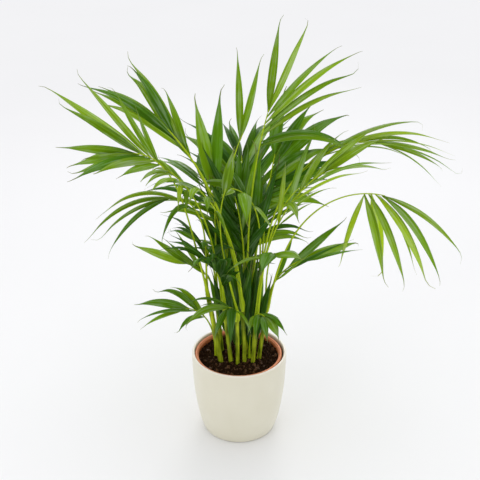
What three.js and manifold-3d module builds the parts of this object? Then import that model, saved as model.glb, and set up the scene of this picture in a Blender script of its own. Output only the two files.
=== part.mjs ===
// Areca palm in an ivory cover pot: a clump of slim stalks with arching feather fronds.
// Millimetres, +Z up, origin at the middle of the pot's flat underside, front of the plant toward -Y.

import * as THREE from "three";
import { mergeVertices } from "three/addons/utils/BufferGeometryUtils.js";
import Module from "manifold-3d";

const wasm = await Module();
wasm.setup();

// Clearances
const GAP = 0.3;
const MARGIN = 0.4;

// Cover pot of glazed earthenware
const POT_HEIGHT = 128;
const POT_RIM_RADIUS = 70;
const POT_SHOULDER_RADIUS = 69.6;
const POT_MIDDLE_RADIUS = 67;
const POT_LOWER_RADIUS = 60.5;
const POT_BASE_RADIUS = 54;
const POT_EDGE_ROUND = 3;
const POT_WALL = 4;
const POT_FLOOR = 5;
const POT_SIDES = 32;

// Grow pot of thin orange plastic, standing inside the cover pot
const GROW_X = -1;
const GROW_RIM_TOP = 125;
const GROW_RIM_DROP = 7;
const GROW_RIM_RADIUS = 64.4;
const GROW_LIP_RADIUS = 61.2;
const GROW_BASE_RADIUS = 46;
const GROW_WALL = 1.4;
const GROW_FLOOR_Z = 5.6;

// Soil that fills the grow pot
const SOIL_TOP = 119;

// Stems, flared a little where they leave the soil
const STEM_SIDES = 7;
const STEM_RINGS = 4;
const STEM_FLARE = 1.15;
const STEM_FLARE_HEIGHT = 9;
const STALK_OFFSET = 2.2;

// Fronds
const STALK_SIDES = 4;
const STALK_TAPER = 0.55;
const RIB_STEPS = 24;
const RIB_MARKS = 9;
const MARK_BUNCH = 1.4;
const LEAFLET_MIN_THICKNESS = 1.3;
const LEAFLET_THICKNESS_SHARE = 0.016;
const LAST_LEAFLET_AT = 0.985;
const LEAFLET_ROOT_SHARE = 0.38;
const OWN_ROOM_FROM = 0.25;

const IVORY = { color: 0xe9e4d4, roughness: 0.35, metalness: 0 };
const TERRACOTTA = { color: 0xc0683c, roughness: 0.55, metalness: 0 };
const SOIL_BROWN = { color: 0x2a1b14, roughness: 0.95, metalness: 0 };
const STEM_GREEN = { color: 0x8fa63a, roughness: 0.5, metalness: 0 };
const LEAF_GREEN = { color: 0x4f8a2c, roughness: 0.45, metalness: 0 };

// Where each stem leaves the soil, which way it leans, how tall it is, and its radius at foot and top.
const STEMS = {
  a: { foot: [-27, -13], azimuth: 188, lean: 9, height: 120, radius: [4.2, 3.8] },
  b: { foot: [-12, -15], azimuth: 190, lean: 6, height: 105, radius: [3.5, 3.3] },
  c: { foot: [8, -17], azimuth: 160, lean: 2, height: 95, radius: [3.4, 3.2] },
  d: { foot: [-17, 33], azimuth: 110, lean: 2, height: 110, radius: [3.6, 3.4] },
  e: { foot: [9, 3], azimuth: 60, lean: 1, height: 120, radius: [3.6, 3.4] },
  f: { foot: [22, 8], azimuth: 15, lean: 5, height: 100, radius: [3.5, 3.3] },
  g: { foot: [29, -7], azimuth: 355, lean: 7, height: 90, radius: [3.5, 3.3] },
  h: { foot: [20, -18], azimuth: 320, lean: 4, height: 72, radius: [3.5, 3.3] },
  i: { foot: [5, 30], azimuth: 80, lean: 4, height: 90, radius: [3.6, 3.4] },
  j: { foot: [-26, 13], azimuth: 160, lean: 5, height: 100, radius: [3.7, 3.4] },
  k: { foot: [-2, -21], azimuth: 262, lean: 5, height: 85, radius: [3.3, 3.1] },
  l: { foot: [15, 20], azimuth: 40, lean: 2, height: 105, radius: [3.4, 3.2] },
};

// What a frond has unless its own row says otherwise. Angles in degrees, sizes in millimetres.
// lean: tilt from upright at the foot and at the tip, reached along a power law (bend).
// bare: share of the rib below the first leaflets. spread: angle of first and last leaflets to the rib.
// lift: dihedral of the leaflets. roll: turn of the whole blade about its rib. droop: sag of leaflet tips.
// pitch: how far each leaflet is turned about its own middle, like a slat, so that neighbours overlap.
// shape: how much shorter the first and last leaflets are. uneven: how much longer one side's leaflets are.
// skew and sag: how much wider one side's first leaflets open, and how much more they droop.
// split: where a wide arch is parted in two nodes.
const FROND = {
  thick: 1.6, swing: 0, bend: 1.6, bare: 0.6, pairs: 5, leaflet: 120, width: 12, spread: [40, 14],
  lift: 5, droop: 0.5, sag: 0, skew: 0, roll: 0, pitch: 28, shape: 0.25, uneven: 0, side: 0, split: 0,
  seed: 1,
};

const FRONDS = [
  { name: "left_top", stem: "a", azimuth: 197, length: 250, lean: [12, 84], bend: 5, bare: 0.84,
    pairs: 6, leaflet: 124, width: 13, spread: [38, 6], lift: 0, droop: 0.3, sag: 0.3, skew: 3,
    roll: -46, pitch: 0, shape: 0.4, uneven: -0.14, seed: 3 },
  { name: "left_back", stem: "c", azimuth: 163, length: 284, lean: [9, 47], bend: 1.7, bare: 0.8,
    leaflet: 134, width: 13, spread: [6, 8], lift: 0, droop: 0.55, skew: -3, roll: -40, pitch: 10,
    thick: 2.4, seed: 7 },
  { name: "right_top", stem: "e", azimuth: 46, length: 256, lean: [0, 24], bare: 0.8, pairs: 7,
    leaflet: 134, width: 10, spread: [53, 9], lift: 0, droop: 0.12, sag: -0.8, roll: 30, pitch: 20,
    shape: 0.1, uneven: -0.06, side: -1, seed: 20 },
  { name: "back_spear", stem: "d", azimuth: 38, length: 226, lean: [-5, 32], bend: 2, bare: 0.95,
    pairs: 1, leaflet: 134, width: 15, spread: [7, 7], lift: 0, droop: 0.05, skew: 20, roll: 25,
    pitch: 0, shape: 0.1, seed: 15 },
  { name: "pair_up", stem: "j", azimuth: 100, length: 168, lean: [3, 7], bare: 0.9, pairs: 1,
    leaflet: 178, width: 24, spread: [9, 9], lift: 0, droop: 0, pitch: 0, uneven: -0.06, seed: 14 },
  { name: "lime_leaf", stem: "k", azimuth: 8, length: 200, lean: [-13, 20], bend: 3, bare: 0.94,
    pairs: 1, leaflet: 84, width: 17, spread: [1, 1], lift: 0, droop: 0, roll: 75, pitch: 0, seed: 75 },
  { name: "new_leaf", stem: "l", azimuth: 20, length: 152, lean: [6, 14], bend: 1.2, bare: 0.9,
    pairs: 1, leaflet: 64, width: 14, spread: [1, 1], lift: 0, droop: 0, roll: 70, pitch: 0, thick: 2.4,
    seed: 67 },
  { name: "right_far", stem: "f", azimuth: 8, length: 318, lean: [3, 104], bend: 2, bare: 0.62,
    pairs: 7, leaflet: 146, width: 9, spread: [6, 5], lift: -8, droop: 0.75, skew: -4, roll: 5,
    pitch: 20, seed: 21 },
  { name: "right_droop", stem: "g", azimuth: 340, length: 277, lean: [11, 96], bend: 2, bare: 0.9,
    pairs: 4, leaflet: 140, width: 16, spread: [94, 10], lift: -58, droop: 1.9, sag: -0.2, skew: 30,
    pitch: 0, shape: 0.06, uneven: 0.06, seed: 23, split: 0.56 },
  { name: "right_dark", stem: "f", azimuth: 60, length: 208, lean: [2, 26], bend: 2, bare: 0.68,
    leaflet: 122, width: 19, spread: [64, 8], droop: 0.6, roll: 30, side: -1, seed: 19 },
  { name: "left_mid", stem: "a", azimuth: 190, length: 172, lean: [0, 104], bend: 4, bare: 0.74,
    pairs: 4, leaflet: 144, width: 10, spread: [30, 8], lift: -5, droop: 1.7, roll: -10, pitch: 0,
    side: 1, seed: 9 },
  { name: "left_low", stem: "j", azimuth: 184, length: 60, lean: [10, 62], bend: 1, bare: 0.5, pairs: 2,
    leaflet: 82, width: 13, spread: [9, 5], lift: 0, droop: 0.1, roll: -30, pitch: 0, shape: 0,
    seed: 11 },
  { name: "left_hook", stem: "b", azimuth: 199, length: 224, lean: [8, 50], bend: 2.6, bare: 0.82,
    pairs: 3, leaflet: 76, width: 11, spread: [60, 30], lift: 0, droop: 1.3, roll: -10, seed: 5 },
  { name: "right_low", stem: "g", azimuth: 4, length: 92, lean: [6, 70], bend: 1.2, bare: 0.45,
    pairs: 3, leaflet: 106, width: 14, spread: [22, 4], droop: 0.25, roll: 15, seed: 25 },
  { name: "right_front", stem: "h", azimuth: 354, length: 258, lean: [4, 52], bend: 1.8, leaflet: 118,
    spread: [34, 8], droop: 0.55, roll: 20, seed: 27 },
  { name: "front_arch", stem: "c", azimuth: 215, length: 214, lean: [6, 42], bare: 0.78, pairs: 3,
    leaflet: 66, spread: [60, 30], droop: 1.6, seed: 29 },
  { name: "front_high", stem: "f", azimuth: 206, length: 192, lean: [-2, 78], bend: 3.6, bare: 0.74,
    pairs: 3, leaflet: 84, width: 19, spread: [70, 26], droop: 1.3, seed: 51 },
  { name: "right_hook", stem: "h", azimuth: 352, length: 222, lean: [5, 44], bend: 3, bare: 0.85,
    pairs: 2, leaflet: 72, width: 17, spread: [44, 20], droop: 2.2, seed: 63 },
  { name: "centre_up", stem: "e", azimuth: 95, length: 40, lean: [2, 6], bend: 1.5, bare: 0.5, pairs: 3,
    leaflet: 165, width: 18, spread: [14, 2], lift: 0, droop: 0, pitch: 0, shape: 0.1, seed: 65 },
  { name: "back_high", stem: "i", azimuth: 92, length: 210, lean: [2, 66], bend: 2, bare: 0.5, pairs: 6,
    leaflet: 130, width: 15, spread: [50, 14], lift: 10, droop: 0.7, seed: 33 },
  { name: "back_left", stem: "d", azimuth: 118, length: 170, lean: [6, 74], bare: 0.5, leaflet: 110,
    width: 14, spread: [50, 14], lift: 10, droop: 0.9, seed: 35 },
  { name: "back_right", stem: "i", azimuth: 62, length: 150, lean: [8, 80], bend: 1.5, bare: 0.45,
    leaflet: 110, width: 14, spread: [50, 14], lift: 10, droop: 0.9, seed: 37 },
  { name: "centre_left", stem: "j", azimuth: 215, length: 96, lean: [3, 42], bend: 1.8, bare: 0.4,
    pairs: 4, leaflet: 80, width: 15, spread: [45, 14], lift: 10, droop: 0.9, seed: 47 },
  { name: "centre_back", stem: "e", azimuth: 120, length: 130, lean: [2, 30], bare: 0.35, pairs: 4,
    leaflet: 110, width: 16, spread: [35, 10], droop: 0.2, seed: 49 },
  { name: "inner_left", stem: "b", azimuth: 225, length: 70, lean: [4, 40], bend: 1.4, bare: 0.35,
    pairs: 4, leaflet: 95, width: 15, spread: [40, 12], lift: 10, droop: 0.9, seed: 53 },
  { name: "inner_right", stem: "g", azimuth: 288, length: 112, lean: [1, 58], bend: 2.2, bare: 0.66,
    pairs: 3, leaflet: 76, width: 19, spread: [75, 14], droop: 1.2, side: -1, seed: 55 },
  { name: "inner_back", stem: "d", azimuth: 75, length: 90, lean: [2, 40], bend: 1.4, bare: 0.3,
    pairs: 4, leaflet: 100, width: 16, spread: [40, 12], droop: 0.4, seed: 57 },
  { name: "right_skirt", stem: "h", azimuth: 300, length: 38, lean: [12, 95], bend: 1.1, bare: 0.4,
    pairs: 3, leaflet: 50, lift: 0, droop: 2.2, seed: 45 },
  { name: "back_low", stem: "i", azimuth: 100, length: 60, lean: [8, 70], bend: 1.2, bare: 0.3,
    pairs: 4, leaflet: 85, width: 13, spread: [50, 16], droop: 1.0, seed: 61 },
  { name: "foot_left", at: [-34, -2], azimuth: 192, length: 106, lean: [4, 84], bend: 2.4, bare: 0.68,
    pairs: 3, leaflet: 90, width: 14, spread: [26, 10], droop: 1.0, roll: -15, seed: 41 },
  { name: "foot_front", stem: "k", azimuth: 222, length: 24, lean: [6, 70], bend: 1.2, bare: 0.3,
    pairs: 3, leaflet: 80, width: 13, spread: [48, 16], lift: 0, droop: 1.7, seed: 43 },
  { name: "sucker_left", at: [-14, 8], azimuth: 100, length: 46, lean: [0, 4], bend: 1, bare: 0.3,
    pairs: 3, leaflet: 140, width: 16, spread: [12, 3], lift: 0, droop: 0, pitch: 0, shape: 0.1,
    seed: 69 },
  { name: "sucker_mid", at: [-2, -6], azimuth: 80, length: 40, lean: [0, 4], bend: 1, bare: 0.3,
    pairs: 3, leaflet: 130, width: 16, spread: [12, 3], lift: 0, droop: 0, pitch: 0, shape: 0.1,
    seed: 71 },
  { name: "sucker_right", at: [15, -8], azimuth: 60, length: 40, lean: [0, 8], bend: 1, bare: 0.3,
    pairs: 3, leaflet: 130, width: 16, spread: [12, 3], lift: 0, droop: 0, pitch: 0, shape: 0.1,
    seed: 73 },
];

// Ways a leaflet may give way to what already stands there: turn about the rib, opening, share of length.
const LEAFLET_SHIFTS = [
  [0, 0, 1], [9, 0, 1], [-9, 0, 1], [0, 8, 1], [0, -8, 1], [18, 0, 1], [-18, 0, 1], [9, 8, 0.8],
  [-9, -8, 0.8], [27, 0, 0.8], [-27, 0, 0.8], [0, 16, 0.8], [0, 0, 0.6], [14, 0, 0.6], [-14, 0, 0.6],
  [0, 0, 0.45],
];
const STALK_SHIFTS = [0, 2, -2, 4, -4, 6, -6, 9, -9, 12, -12, 16, -16, 20, -20, 25, -25, 30, -30];

const RAD = Math.PI / 180;
const vec = (x, y, z) => new THREE.Vector3(x, y, z);

// Steady scatter between -1 and 1 for a frond's seed and a leaflet's number.
function scatter(seed, k) {
  const t = seed * 0.7549 + k * 0.618;
  return 2 * (t - Math.floor(t)) - 1;
}

// Signed turn from a heading in radians to an azimuth in degrees.
function turnFrom(heading, azimuth) {
  const turn = azimuth * RAD - heading;
  return Math.atan2(Math.sin(turn), Math.cos(turn));
}

// A closed solid from rings of equal point counts, with flat ends or a point at the far end.
function ringSolid(rings, tip) {
  const count = rings[0].length;
  const points = rings.flat();
  const faces = [];
  for (let i = 1; i < count - 1; i += 1) faces.push([0, i + 1, i]);
  for (let r = 0; r + 1 < rings.length; r += 1) {
    for (let i = 0; i < count; i += 1) {
      const a = r * count + i;
      const b = r * count + (i + 1) % count;
      faces.push([a, b, b + count], [a, b + count, a + count]);
    }
  }
  const last = (rings.length - 1) * count;
  if (tip) {
    points.push(tip);
    for (let i = 0; i < count; i += 1) faces.push([last + i, last + (i + 1) % count, points.length - 1]);
  } else {
    for (let i = 1; i < count - 1; i += 1) faces.push([last, last + i, last + i + 1]);
  }
  const geometry = new THREE.BufferGeometry();
  const numbers = points.flatMap((p) => [p.x, p.y, p.z]);
  geometry.setAttribute("position", new THREE.Float32BufferAttribute(numbers, 3));
  let volume = 0;
  for (const [a, b, c] of faces) volume += points[a].dot(points[b].clone().cross(points[c]));
  geometry.setIndex(faces.flatMap(([a, b, c]) => (volume > 0 ? [a, b, c] : [a, c, b])));
  return geometry;
}

function toManifold(geometry) {
  const bare = geometry.clone();
  bare.deleteAttribute("normal");
  bare.deleteAttribute("uv");
  const merged = mergeVertices(bare, 1e-5);
  return new wasm.Manifold(new wasm.Mesh({
    numProp: 3,
    vertProperties: new Float32Array(merged.attributes.position.array),
    triVerts: new Uint32Array(merged.index.array),
  }));
}

function toGeometry(solid) {
  const mesh = solid.getMesh();
  const geometry = new THREE.BufferGeometry();
  geometry.setAttribute("position", new THREE.Float32BufferAttribute(mesh.vertProperties, 3));
  geometry.setIndex(Array.from(mesh.triVerts));
  return geometry;
}

const palm = new THREE.Group();

function addMesh(name, geometry, look, x = 0) {
  geometry.computeVertexNormals();
  const mesh = new THREE.Mesh(geometry, new THREE.MeshStandardMaterial(look));
  mesh.name = name;
  mesh.position.x = x;
  palm.add(mesh);
  return mesh;
}

// A turned piece: the profile of [radius, z] points closes on itself or ends on the axis.
function turned(profile, sides) {
  const geometry = new THREE.LatheGeometry(profile.map(([r, z]) => new THREE.Vector2(r, z)), sides);
  geometry.rotateX(Math.PI / 2);
  geometry.deleteAttribute("normal");
  geometry.deleteAttribute("uv");
  return mergeVertices(geometry, 1e-4);
}

// Outer radius of the cover pot at a height: three joined slopes give its soft bulge.
function potRadius(z) {
  const marks = [[0, POT_BASE_RADIUS], [22, POT_LOWER_RADIUS], [64, POT_MIDDLE_RADIUS],
    [104, POT_SHOULDER_RADIUS], [POT_HEIGHT, POT_RIM_RADIUS]];
  const curve = new THREE.SplineCurve(marks.map(([h, r]) => new THREE.Vector2(r, h)));
  let best = curve.getPoint(0);
  for (const p of curve.getPoints(60)) if (Math.abs(p.y - z) < Math.abs(best.y - z)) best = p;
  return best.x;
}

function coverPot() {
  const outside = [[POT_BASE_RADIUS - POT_EDGE_ROUND, 0], [POT_BASE_RADIUS - 0.6, 0.9], [potRadius(3), 3]];
  for (const z of [12, 30, 54, 84, 114]) outside.push([potRadius(z), z]);
  const rim = [[POT_RIM_RADIUS, POT_HEIGHT - 1.6], [POT_RIM_RADIUS - 1, POT_HEIGHT],
    [POT_RIM_RADIUS - 2.6, POT_HEIGHT], [POT_RIM_RADIUS - POT_WALL, POT_HEIGHT - 1.8]];
  const inside = [114, 84, 54, 30, 12, POT_FLOOR].map((z) => [potRadius(z) - POT_WALL, z]);
  return turned([[0, 0], ...outside, ...rim, ...inside, [0, POT_FLOOR]], POT_SIDES);
}

// Inner radius of the grow pot at a height below its rim.
function growInside(z) {
  const share = (z - GROW_FLOOR_Z) / (GROW_RIM_TOP - GROW_FLOOR_Z);
  return GROW_BASE_RADIUS + (GROW_LIP_RADIUS - 1.2 - GROW_BASE_RADIUS) * share;
}

function growPot() {
  const foot = GROW_FLOOR_Z;
  const under = GROW_RIM_TOP - GROW_RIM_DROP;
  const top = GROW_RIM_TOP;
  return turned([
    [0, foot],
    [growInside(foot) + GROW_WALL, foot],
    [growInside(under) + GROW_WALL, under],
    [GROW_RIM_RADIUS, under],
    [GROW_RIM_RADIUS, top - 1.4],
    [GROW_RIM_RADIUS - 1.2, top],
    [GROW_LIP_RADIUS, top],
    [growInside(top - 2), top - 2],
    [growInside(foot + GROW_WALL), foot + GROW_WALL],
    [0, foot + GROW_WALL],
  ], POT_SIDES);
}

function soilBody() {
  const low = GROW_FLOOR_Z + GROW_WALL + GAP;
  return turned([
    [0, low],
    [growInside(low) - 2 * GAP, low],
    [growInside(SOIL_TOP - 3) - 2 * GAP, SOIL_TOP - 3],
    [growInside(SOIL_TOP) - 4, SOIL_TOP],
    [0, SOIL_TOP],
  ], POT_SIDES);
}

// Every finished piece is kept with its box, so that later pieces can keep clear of it.
const placed = [];

function place(owner, solid) {
  placed.push({ owner, solid, box: solid.boundingBox() });
}

function meets(solid, others) {
  const box = solid.boundingBox();
  const near = (other) => [0, 1, 2].every((i) => box.min[i] <= other.box.max[i]
    && other.box.min[i] <= box.max[i]);
  return others.some((other) => near(other) && !solid.intersect(other.solid).isEmpty());
}

function blocked(owner, solid) {
  return meets(solid, placed.filter((other) => other.owner !== owner));
}

function stemTop(stem) {
  const reach = stem.height * Math.sin(stem.lean * RAD);
  return vec(
    stem.foot[0] + reach * Math.cos(stem.azimuth * RAD),
    stem.foot[1] + reach * Math.sin(stem.azimuth * RAD),
    SOIL_TOP + GAP + stem.height * Math.cos(stem.lean * RAD),
  );
}

// A stem with level cuts at the soil and at its top.
function stemSolid(stem) {
  const foot = vec(stem.foot[0], stem.foot[1], SOIL_TOP + GAP);
  const top = stemTop(stem);
  const rings = [];
  for (let j = 0; j <= STEM_RINGS; j += 1) {
    const share = j < 2 ? j * STEM_FLARE_HEIGHT / stem.height : (j - 1) / (STEM_RINGS - 1);
    const centre = foot.clone().lerp(top, share);
    const flare = j === 0 ? STEM_FLARE : 1;
    const r = (stem.radius[0] + (stem.radius[1] - stem.radius[0]) * share) * flare;
    const ring = [];
    for (let i = 0; i < STEM_SIDES; i += 1) {
      const a = i * 2 * Math.PI / STEM_SIDES;
      ring.push(vec(centre.x + r * Math.cos(a), centre.y + r * Math.sin(a), centre.z));
    }
    rings.push(ring);
  }
  return ringSolid(rings);
}

// Shares of a rib's length where its solid has a ring, closer together toward the tip.
const MARKS = Array.from({ length: RIB_MARKS + 1 }, (_, j) => 1 - (1 - j / RIB_MARKS) ** MARK_BUNCH);

// A rib's line: directions and headings in fine steps, and places on the straight pieces between marks.
function ribOf(frond) {
  const fine = [frond.root.clone()];
  const along = [];
  const headings = [];
  for (let j = 0; j < RIB_STEPS; j += 1) {
    const u = (j + 0.5) / RIB_STEPS;
    const lean = (frond.lean[0] + (frond.lean[1] - frond.lean[0]) * u ** frond.bend) * RAD;
    const h = (frond.azimuth + frond.swing * u) * RAD;
    const t = vec(Math.sin(lean) * Math.cos(h), Math.sin(lean) * Math.sin(h), Math.cos(lean));
    fine.push(fine[j].clone().addScaledVector(t, frond.length / RIB_STEPS));
    along.push(t);
    headings.push(h);
  }
  const marks = MARKS.map((u) => {
    const j = Math.min(RIB_STEPS - 1, Math.floor(u * RIB_STEPS));
    return fine[j].clone().lerp(fine[j + 1], u * RIB_STEPS - j);
  });
  const at = (u) => {
    const j = Math.min(RIB_MARKS - 1, MARKS.findLastIndex((mark) => mark <= u));
    return marks[j].clone().lerp(marks[j + 1], (u - MARKS[j]) / (MARKS[j + 1] - MARKS[j]));
  };
  return { at, along, headings };
}

// The rib's tube from share u0 to share u1 of its length.
function ribSolid(frond, u0, u1, extra) {
  const { at, headings } = ribOf(frond);
  const between = MARKS.filter((u) => u > u0 + 0.02 && u < u1 - 0.02);
  const rings = [u0, ...between, u1].map((u) => {
    const j = Math.min(RIB_STEPS - 1, Math.floor(u * RIB_STEPS));
    const t = at(Math.min(1, u + 0.03)).sub(at(Math.max(0, u - 0.03))).normalize();
    const level = u === 0;
    const side = vec(-Math.sin(headings[j]), Math.cos(headings[j]), 0);
    const up = level ? vec(-Math.cos(headings[j]), -Math.sin(headings[j]), 0) : t.clone().cross(side);
    const r = frond.thick * (1 - STALK_TAPER * u) + extra;
    const ring = [];
    for (let i = 0; i < STALK_SIDES; i += 1) {
      const a = i * 2 * Math.PI / STALK_SIDES;
      ring.push(at(u).addScaledVector(side, r * Math.cos(a)).addScaledVector(up, r * Math.sin(a)));
    }
    return ring;
  });
  return toManifold(ringSolid(rings));
}

// Where each leaflet grows, which way it sets out, and its size.
function leafletsOf(frond) {
  const { at, along, headings } = ribOf(frond);
  const list = [];
  for (let i = 0; i < frond.pairs; i += 1) {
    for (const side of [1, -1]) {
      if (frond.side !== 0 && side !== frond.side && i < frond.pairs - 1) continue;
      const k = 2 * i + (side < 0 ? 1 : 0);
      const x = Math.max(0, (i - (side < 0 ? 0.35 : 0)) / Math.max(1, frond.pairs - 1));
      const u = Math.min(LAST_LEAFLET_AT, frond.bare + (1 - frond.bare) * x);
      const j = Math.min(RIB_STEPS - 1, Math.floor(u * RIB_STEPS));
      const t = along[j];
      const cross = vec(-Math.sin(headings[j]), Math.cos(headings[j]), 0);
      const over = t.clone().cross(cross);
      const roll = frond.roll * RAD;
      const out = cross.clone().multiplyScalar(Math.cos(roll)).addScaledVector(over, Math.sin(roll));
      const up = over.clone().multiplyScalar(Math.cos(roll)).addScaledVector(cross, -Math.sin(roll));
      list.push({
        root: at(u),
        t, out, up, side,
        pitch: frond.pitch,
        base: frond.thick * (1 - STALK_TAPER * u) * LEAFLET_ROOT_SHARE,
        opening: frond.spread[0] + (frond.spread[1] - frond.spread[0]) * x + frond.skew * side * (1 - x)
          + 6 * scatter(frond.seed, k),
        lift: frond.lift + 7 * scatter(frond.seed, k + 31),
        length: frond.leaflet * (1 - frond.shape * (2 * x - 1) ** 2)
          * (1 + frond.uneven * side) * (1 + 0.1 * scatter(frond.seed, k + 57)),
        width: frond.width * (0.75 + 0.35 * x) * (1 + 0.1 * scatter(frond.seed, k + 91)),
        droop: (frond.droop + frond.sag * side * (1 - x)) * (1 + 0.35 * scatter(frond.seed, k + 13)),
      });
    }
  }
  return list;
}

// A leaflet's width along its length: narrow at the rib, widest before the middle, then a point.
function widthShare(v) {
  const rise = Math.min(1, v / 0.3);
  return (0.2 + 0.8 * rise * rise * (3 - 2 * rise)) * Math.max(0, 1 - v ** 2.4) ** 0.9;
}

// A leaflet that sags more is made of more pieces.
function segmentsFor(droop) {
  if (droop < 0.35) return 3;
  return droop < 1.3 ? 4 : 5;
}

// A roof-shaped blade that arches over and sags toward its tip, whole or from a share of its length on.
function leafletSolid(leaf, shift, extra, from = 0) {
  const opening = (leaf.opening + shift[1]) * RAD;
  const lift = (leaf.lift + shift[0]) * RAD;
  const length = leaf.length * shift[2];
  const start = leaf.t.clone().multiplyScalar(Math.cos(opening))
    .addScaledVector(leaf.out, leaf.side * Math.cos(lift) * Math.sin(opening))
    .addScaledVector(leaf.up, Math.sin(lift) * Math.sin(opening));
  const n = segmentsFor(leaf.droop);
  const centres = [leaf.root.clone()];
  const ways = [];
  for (let j = 0; j < n; j += 1) {
    const v = (j + 0.5) / n;
    const d = start.clone().add(vec(0, 0, -leaf.droop * v ** 1.3)).normalize();
    centres.push(centres[j].clone().addScaledVector(d, length / n));
    ways.push(d);
  }
  const rings = [];
  let w = ways[0].clone().cross(leaf.up).normalize().applyAxisAngle(ways[0], leaf.side * leaf.pitch * RAD);
  for (let j = 0; j < n; j += 1) {
    const d = j === 0 ? ways[0].clone() : ways[j - 1].clone().add(ways[j]).normalize();
    w = w.addScaledVector(d, -w.dot(d)).normalize();
    const normal = w.clone().cross(d);
    const v = j / n;
    if (v < from) continue;
    const half = (j === 0 ? leaf.base : leaf.width / 2 * widthShare(v)) + extra;
    const depth = j === 0 ? leaf.base / 2
      : Math.max(LEAFLET_MIN_THICKNESS, length * LEAFLET_THICKNESS_SHARE) * (1 - 0.5 * v) / 3;
    rings.push([
      centres[j].clone().addScaledVector(w, -half).addScaledVector(normal, -depth - extra),
      centres[j].clone().addScaledVector(w, half).addScaledVector(normal, -depth - extra),
      centres[j].clone().addScaledVector(normal, 2 * depth + extra),
    ]);
  }
  const tip = centres[n].clone().addScaledVector(ways[n - 1], extra);
  return toManifold(ringSolid(rings, tip));
}

// Pots and soil
place("cover_pot", toManifold(addMesh("cover_pot", coverPot(), IVORY).geometry));
const growShape = growPot();
const soilShape = soilBody();
addMesh("grow_pot", growShape, TERRACOTTA, GROW_X);
addMesh("soil", soilShape, SOIL_BROWN, GROW_X);
place("grow_pot", toManifold(growShape.clone().translate(GROW_X, 0, 0)));
place("soil", toManifold(soilShape.clone().translate(GROW_X, 0, 0)));

// Stems
for (const [key, stem] of Object.entries(STEMS)) {
  const geometry = stemSolid(stem);
  addMesh(`stem_${key}`, geometry, STEM_GREEN);
  place(`stem_${key}`, toManifold(geometry));
  const rows = FRONDS.filter((row) => row.stem === key);
  const sum = rows.reduce((acc, row) => acc.add(new THREE.Vector2(Math.cos(row.azimuth * RAD),
    Math.sin(row.azimuth * RAD))), new THREE.Vector2());
  stem.heading = sum.angle();
  const turn = (row) => turnFrom(stem.heading, row.azimuth);
  stem.fronds = rows.sort((one, two) => turn(one) - turn(two));
}

// Roots of the fronds: spread round the top of their stem, or straight out of the soil.
const fronds = FRONDS.map((row) => {
  const frond = { ...FROND, ...row };
  if (!row.stem) {
    frond.root = vec(row.at[0], row.at[1], SOIL_TOP + GAP);
    return frond;
  }
  const stem = STEMS[row.stem];
  const mates = stem.fronds.length;
  const turn = stem.heading + 2 * Math.PI / mates * (stem.fronds.indexOf(row) - (mates - 1) / 2);
  const offset = mates > 1 ? STALK_OFFSET : 0;
  frond.root = stemTop(stem).add(vec(offset * Math.cos(turn), offset * Math.sin(turn), GAP));
  return frond;
});

// Ribs first, each turned a little where another stands in its way.
for (const frond of fronds) {
  const wanted = frond.azimuth;
  const shift = STALK_SHIFTS.find((turn) => {
    frond.azimuth = wanted + turn;
    return !blocked(frond.name, ribSolid(frond, 0, 1, MARGIN));
  });
  if (shift === undefined) throw new Error(`no clear way for ${frond.name}`);
  frond.azimuth = wanted + shift;
  const part = frond.split;
  const cut = part + GAP / frond.length;
  frond.stalk = part > 0 ? ribSolid(frond, 0, part, 0) : null;
  frond.blade = ribSolid(frond, part > 0 ? cut : 0, 1, 0);
  if (frond.stalk) place(`stalk_${frond.name}`, frond.stalk);
  place(frond.name, frond.blade);
}

// Then the leaflets, one after the other, each in the first way that keeps it clear of all other nodes.
for (const frond of fronds) {
  const own = [];
  for (const leaf of leafletsOf(frond)) {
    const free = LEAFLET_SHIFTS.filter((way) => !blocked(frond.name, leafletSolid(leaf, way, MARGIN)));
    const shift = free.find((way) => !meets(leafletSolid(leaf, way, 0, OWN_ROOM_FROM), own)) ?? free[0];
    if (shift === undefined) continue;
    const solid = leafletSolid(leaf, shift, 0);
    own.push({ solid, box: solid.boundingBox() });
    frond.blade = frond.blade.add(solid);
  }
  for (const { solid } of own) place(frond.name, solid);
}

for (const frond of fronds) {
  if (frond.stalk) addMesh(`stalk_${frond.name}`, toGeometry(frond.stalk), STEM_GREEN);
  addMesh(`frond_${frond.name}`, toGeometry(frond.blade), LEAF_GREEN);
}

export default palm;
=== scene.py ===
# %% [markdown]
# # An areca palm in an ivory pot
#
# This lesson dresses a plain solid model of a potted palm until it looks like the real plant. The plant is
# a clump of slim yellow-green stems. Each stem carries a few arching fronds, and each frond is a rib with
# narrow leaflets on both sides. The clump stands in dark soil, in an orange grow pot, inside a smooth ivory
# pot.
#
# A palm grows by a rule, so the lesson repeats that rule with finer pieces. It does not draw leaves by hand.

# %% Loading the solid model
import math

import bpy
from mathutils import Matrix, Vector, kdtree, noise


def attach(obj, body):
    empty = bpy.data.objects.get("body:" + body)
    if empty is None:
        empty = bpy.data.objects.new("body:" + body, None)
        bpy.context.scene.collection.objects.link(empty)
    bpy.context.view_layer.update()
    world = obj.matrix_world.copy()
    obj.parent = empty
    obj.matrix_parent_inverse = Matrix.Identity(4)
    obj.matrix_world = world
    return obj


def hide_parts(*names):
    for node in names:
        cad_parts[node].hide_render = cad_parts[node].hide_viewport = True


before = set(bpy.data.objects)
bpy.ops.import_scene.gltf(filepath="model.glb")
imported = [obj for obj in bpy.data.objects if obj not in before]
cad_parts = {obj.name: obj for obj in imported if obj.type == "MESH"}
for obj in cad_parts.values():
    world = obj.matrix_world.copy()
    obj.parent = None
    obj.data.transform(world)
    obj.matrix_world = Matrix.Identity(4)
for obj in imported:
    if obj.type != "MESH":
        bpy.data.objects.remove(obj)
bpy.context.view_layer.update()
MM = 0.001


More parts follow.
